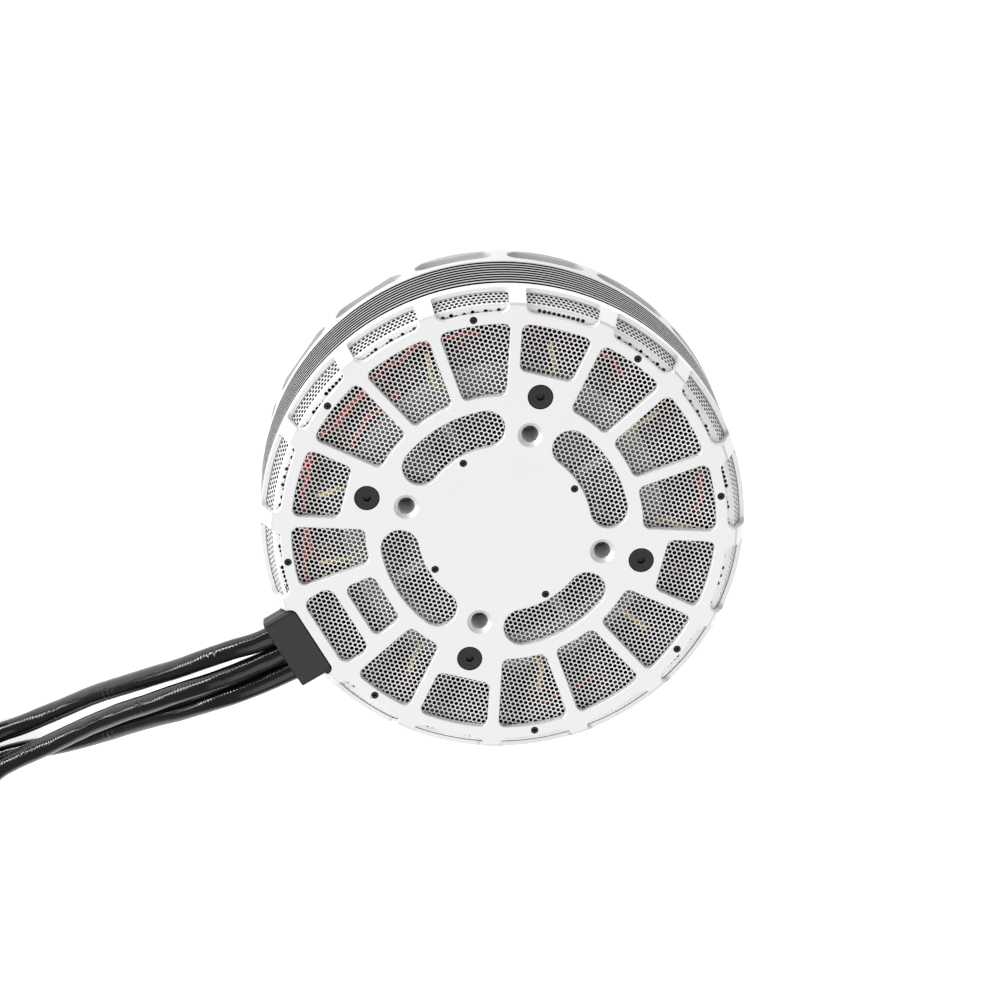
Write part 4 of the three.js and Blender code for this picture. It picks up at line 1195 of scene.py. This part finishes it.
def rotor_shaft():
    """The shaft, its foot centred and chamfered, with the flange that carries the cap."""
    radius, top = 9.9, 63.2
    foot = [(0, 3.2, 0), (1.6, 1.4, 0), (2.4, 0.5, 0), (radius, 0.5, 0.6)]
    flange = [(radius, 6.3, 0.1), (17, 6.3, 0.3), (17, 8.7, 0.3), (radius, 8.7, 0.1)]
    profile = filleted([*foot, *flange, (radius, top, 0.6), (0, top, 0)], 3)
    obj = mesh_object("steel_shaft", *lathe_mesh(profile, 72), bearing_metal)
    holes = [pin_mesh(1.85, 0, 9, place, 24) for place in hub_screw_places()]
    combine(obj, joined(holes))
    smooth(obj, 30)
    stands_for(obj, "rotor", "bearing_steel", "shaft")


rotor_band()
magnet_blocks()
rotor_cap()
rotor_shaft()
for index, spot in enumerate(cap_screw_places()):
    cap_screw(index + 1, spot)
for index, spot in enumerate(hub_screw_places()):
    hub_screw(index + 1, spot)

# ---- stator windings ----

CORE_TOP, CORE_BOTTOM = 49, 22
TEETH = 36
WIRE_RADIUS = 0.72
WIRE_PITCH = 1.5
COIL_LAYERS = ((69.6, 3.45, 1.2, 9), (70.3, 4.9, 4.6, 8))  # first radius, half width, rise, turns


def coil_turn(radius, half, rise):
    """One turn of wire round a tooth, at a distance from the axis."""
    top, bottom = CORE_TOP + rise, CORE_BOTTOM - rise
    corner = min(half - 0.1, rise + 1.6)
    ends = [(-half, bottom), (half, bottom), (half, top), (-half, top)]
    line = np.array([(radius, y, z) for y, z in filleted([(*end, corner) for end in ends], 4)])
    tangents = np.roll(line, -1, axis=0) - np.roll(line, 1, axis=0)
    tangents /= np.linalg.norm(tangents, axis=1)[:, None]
    side = np.array((1.0, 0, 0))
    out = np.cross(tangents, side)
    sides = 6
    angles = np.linspace(0, 2 * math.pi, sides, endpoint=False)
    ring = np.cos(angles)[None, :, None] * side + np.sin(angles)[None, :, None] * out[:, None]
    vertices = (line[:, None] + WIRE_RADIUS * ring).reshape(-1, 3)
    faces = []
    for i in range(len(line)):
        faces += strip(i * sides, (i + 1) % len(line) * sides, sides)
    return [tuple(v) for v in vertices], faces


def phase_winding(phase):
    """A third of the teeth's coils, each of two layers of turns."""
    coils = []
    for tooth in range(TEETH):
        if tooth // 2 % 3 != phase:
            continue
        turns = []
        for first, half, rise, count in COIL_LAYERS:
            turns += [coil_turn(first + WIRE_PITCH * k, half, rise) for k in range(count)]
        coils.append(turned_to(joined(turns), 360 * tooth / TEETH))
    name = f"coils_phase_{phase + 1}"
    piece(name, joined(coils), coil_enamel, 80, "stator", "winding_enamel", "stator_winding")


NEUTRAL_DEGREES = (5, 43, 84, 139, 163, 208, 252, 290, 327)
RED_LEADS = (  # first and last degrees, first and last radius
    (66, 98, 77, 82), (86, 118, 79, 76), (104, 136, 76, 82), (126, 160, 81, 77), (96, 122, 67, 68),
    (146, 168, 78, 82), (250, 268, 80, 77), (20, 34, 76, 80), (330, 344, 78, 81),
)
LEAD_Z = 58.2


def neutral_joint(number, degrees):
    """A yellow sleeved joint that runs outwards over the coils."""
    chance = random.Random(degrees)
    bend = chance.uniform(-2, 2)
    points = [(*polar(60 + 3 * k, degrees + bend * math.sin(k)), LEAD_Z - 0.1 * k * k) for k in range(6)]
    mesh = tube_mesh(smooth_line(points, 6), 1.05, 12)
    piece(f"neutral_sleeve_{number}", mesh, yellow_sleeving, 50, "stator", "winding_enamel")


def red_lead(number, start, end, inner, outer):
    """A red enamelled lead that lies round the tops of the coils."""
    chance = random.Random(number)
    points = []
    for i, degrees in enumerate(np.linspace(start, end, 9)):
        radius = inner + (outer - inner) * i / 8 + chance.uniform(-0.9, 0.9)
        points.append((*polar(radius, degrees), LEAD_Z - 0.6 + chance.uniform(-0.5, 0.6)))
    mesh = tube_mesh(smooth_line(points, 6), 0.8, 8)
    piece(f"red_lead_{number}", mesh, red_enamel, 60, "stator", "winding_enamel")


for phase_number in range(3):
    phase_winding(phase_number)
for index, angle in enumerate(NEUTRAL_DEGREES):
    neutral_joint(index + 1, angle)
for index, spread in enumerate(RED_LEADS):
    red_lead(index + 1, *spread)

# ---- CAD nodes that keep their shape ----

KEPT = {
    "stator_carrier": carrier_metal,
    "stator_core": core_sheets,
    "shaft_circlip": screw_black,
    **{f"bearing_inner_{level}": bearing_metal for level in ("lower", "upper")},
    **{f"bearing_outer_{level}": bearing_metal for level in ("lower", "upper")},
    **{f"bearing_cage_{level}": cage_polymer for level in ("lower", "upper")},
    **{f"phase_lead_{i}": shrink_black for i in (1, 2, 3)},
}
for node, material in KEPT.items():
    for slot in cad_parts[node].material_slots:
        slot.link = "OBJECT"
        slot.material = material

# ---- floor, light and colours ----


def area_light(name, place, aim, size, power):
    light = bpy.data.lights.new(name, "AREA")
    light.shape = "RECTANGLE"
    light.size, light.size_y = size
    light.energy = power
    obj = bpy.data.objects.new(name, light)
    bpy.context.collection.objects.link(obj)
    obj.location = place
    obj.rotation_euler = (Vector(aim) - Vector(place)).to_track_quat("-Z", "Y").to_euler()


def studio():
    """A white table, a big softbox above the -Y side and a narrow strip low on the +Y side.

    The table glows, as an overexposed white one, except under the motor, where a painted shadow darkens its
    colour and fades out its glow.
    """
    reach = 6000
    corners = [(-reach, -reach, 0), (reach, -reach, 0), (reach, reach, 0), (-reach, reach, 0)]
    floor = mesh_object("floor", corners, [[0, 1, 2, 3]])
    white = Nodes("floor_white", (0.9, 0.9, 0.9), 0.9, Emission_Color=(1, 1, 1, 1))
    # Painted shadow: under the motor the floor's colour darkens to 0.3 and its glow fades out, between 98 and
    # 70 mm from the axis.
    outside_painted_shadow = white.add("MapRange", _0=white.radius(), _1=0.07, _2=0.098)
    white.shade(outside_painted_shadow.outputs[0], 0.3, 1)
    glow = white.math("MULTIPLY", outside_painted_shadow.outputs[0], 0.8)
    white.tree.links.new(glow, white.shader.inputs["Emission Strength"])
    floor.data.materials.append(white.material)
    floor.location.z = -0.0005
    world = bpy.data.worlds.new("studio")
    world.use_nodes = True
    sky = world.node_tree.nodes["Background"].inputs
    sky["Color"].default_value = (1, 1, 1, 1)
    sky["Strength"].default_value = 0.3
    bpy.context.scene.world = world
    centre = (-0.05, 0, 0.05)
    area_light("softbox", (-0.05, -1.0, 2.2), centre, (3.2, 2.6), 35)
    area_light("strip", (-0.9, 1.25, 0.5), centre, (2.2, 0.09), 24)
    view = bpy.context.scene.view_settings
    view.view_transform = "Standard"
    view.look = "None"


studio()
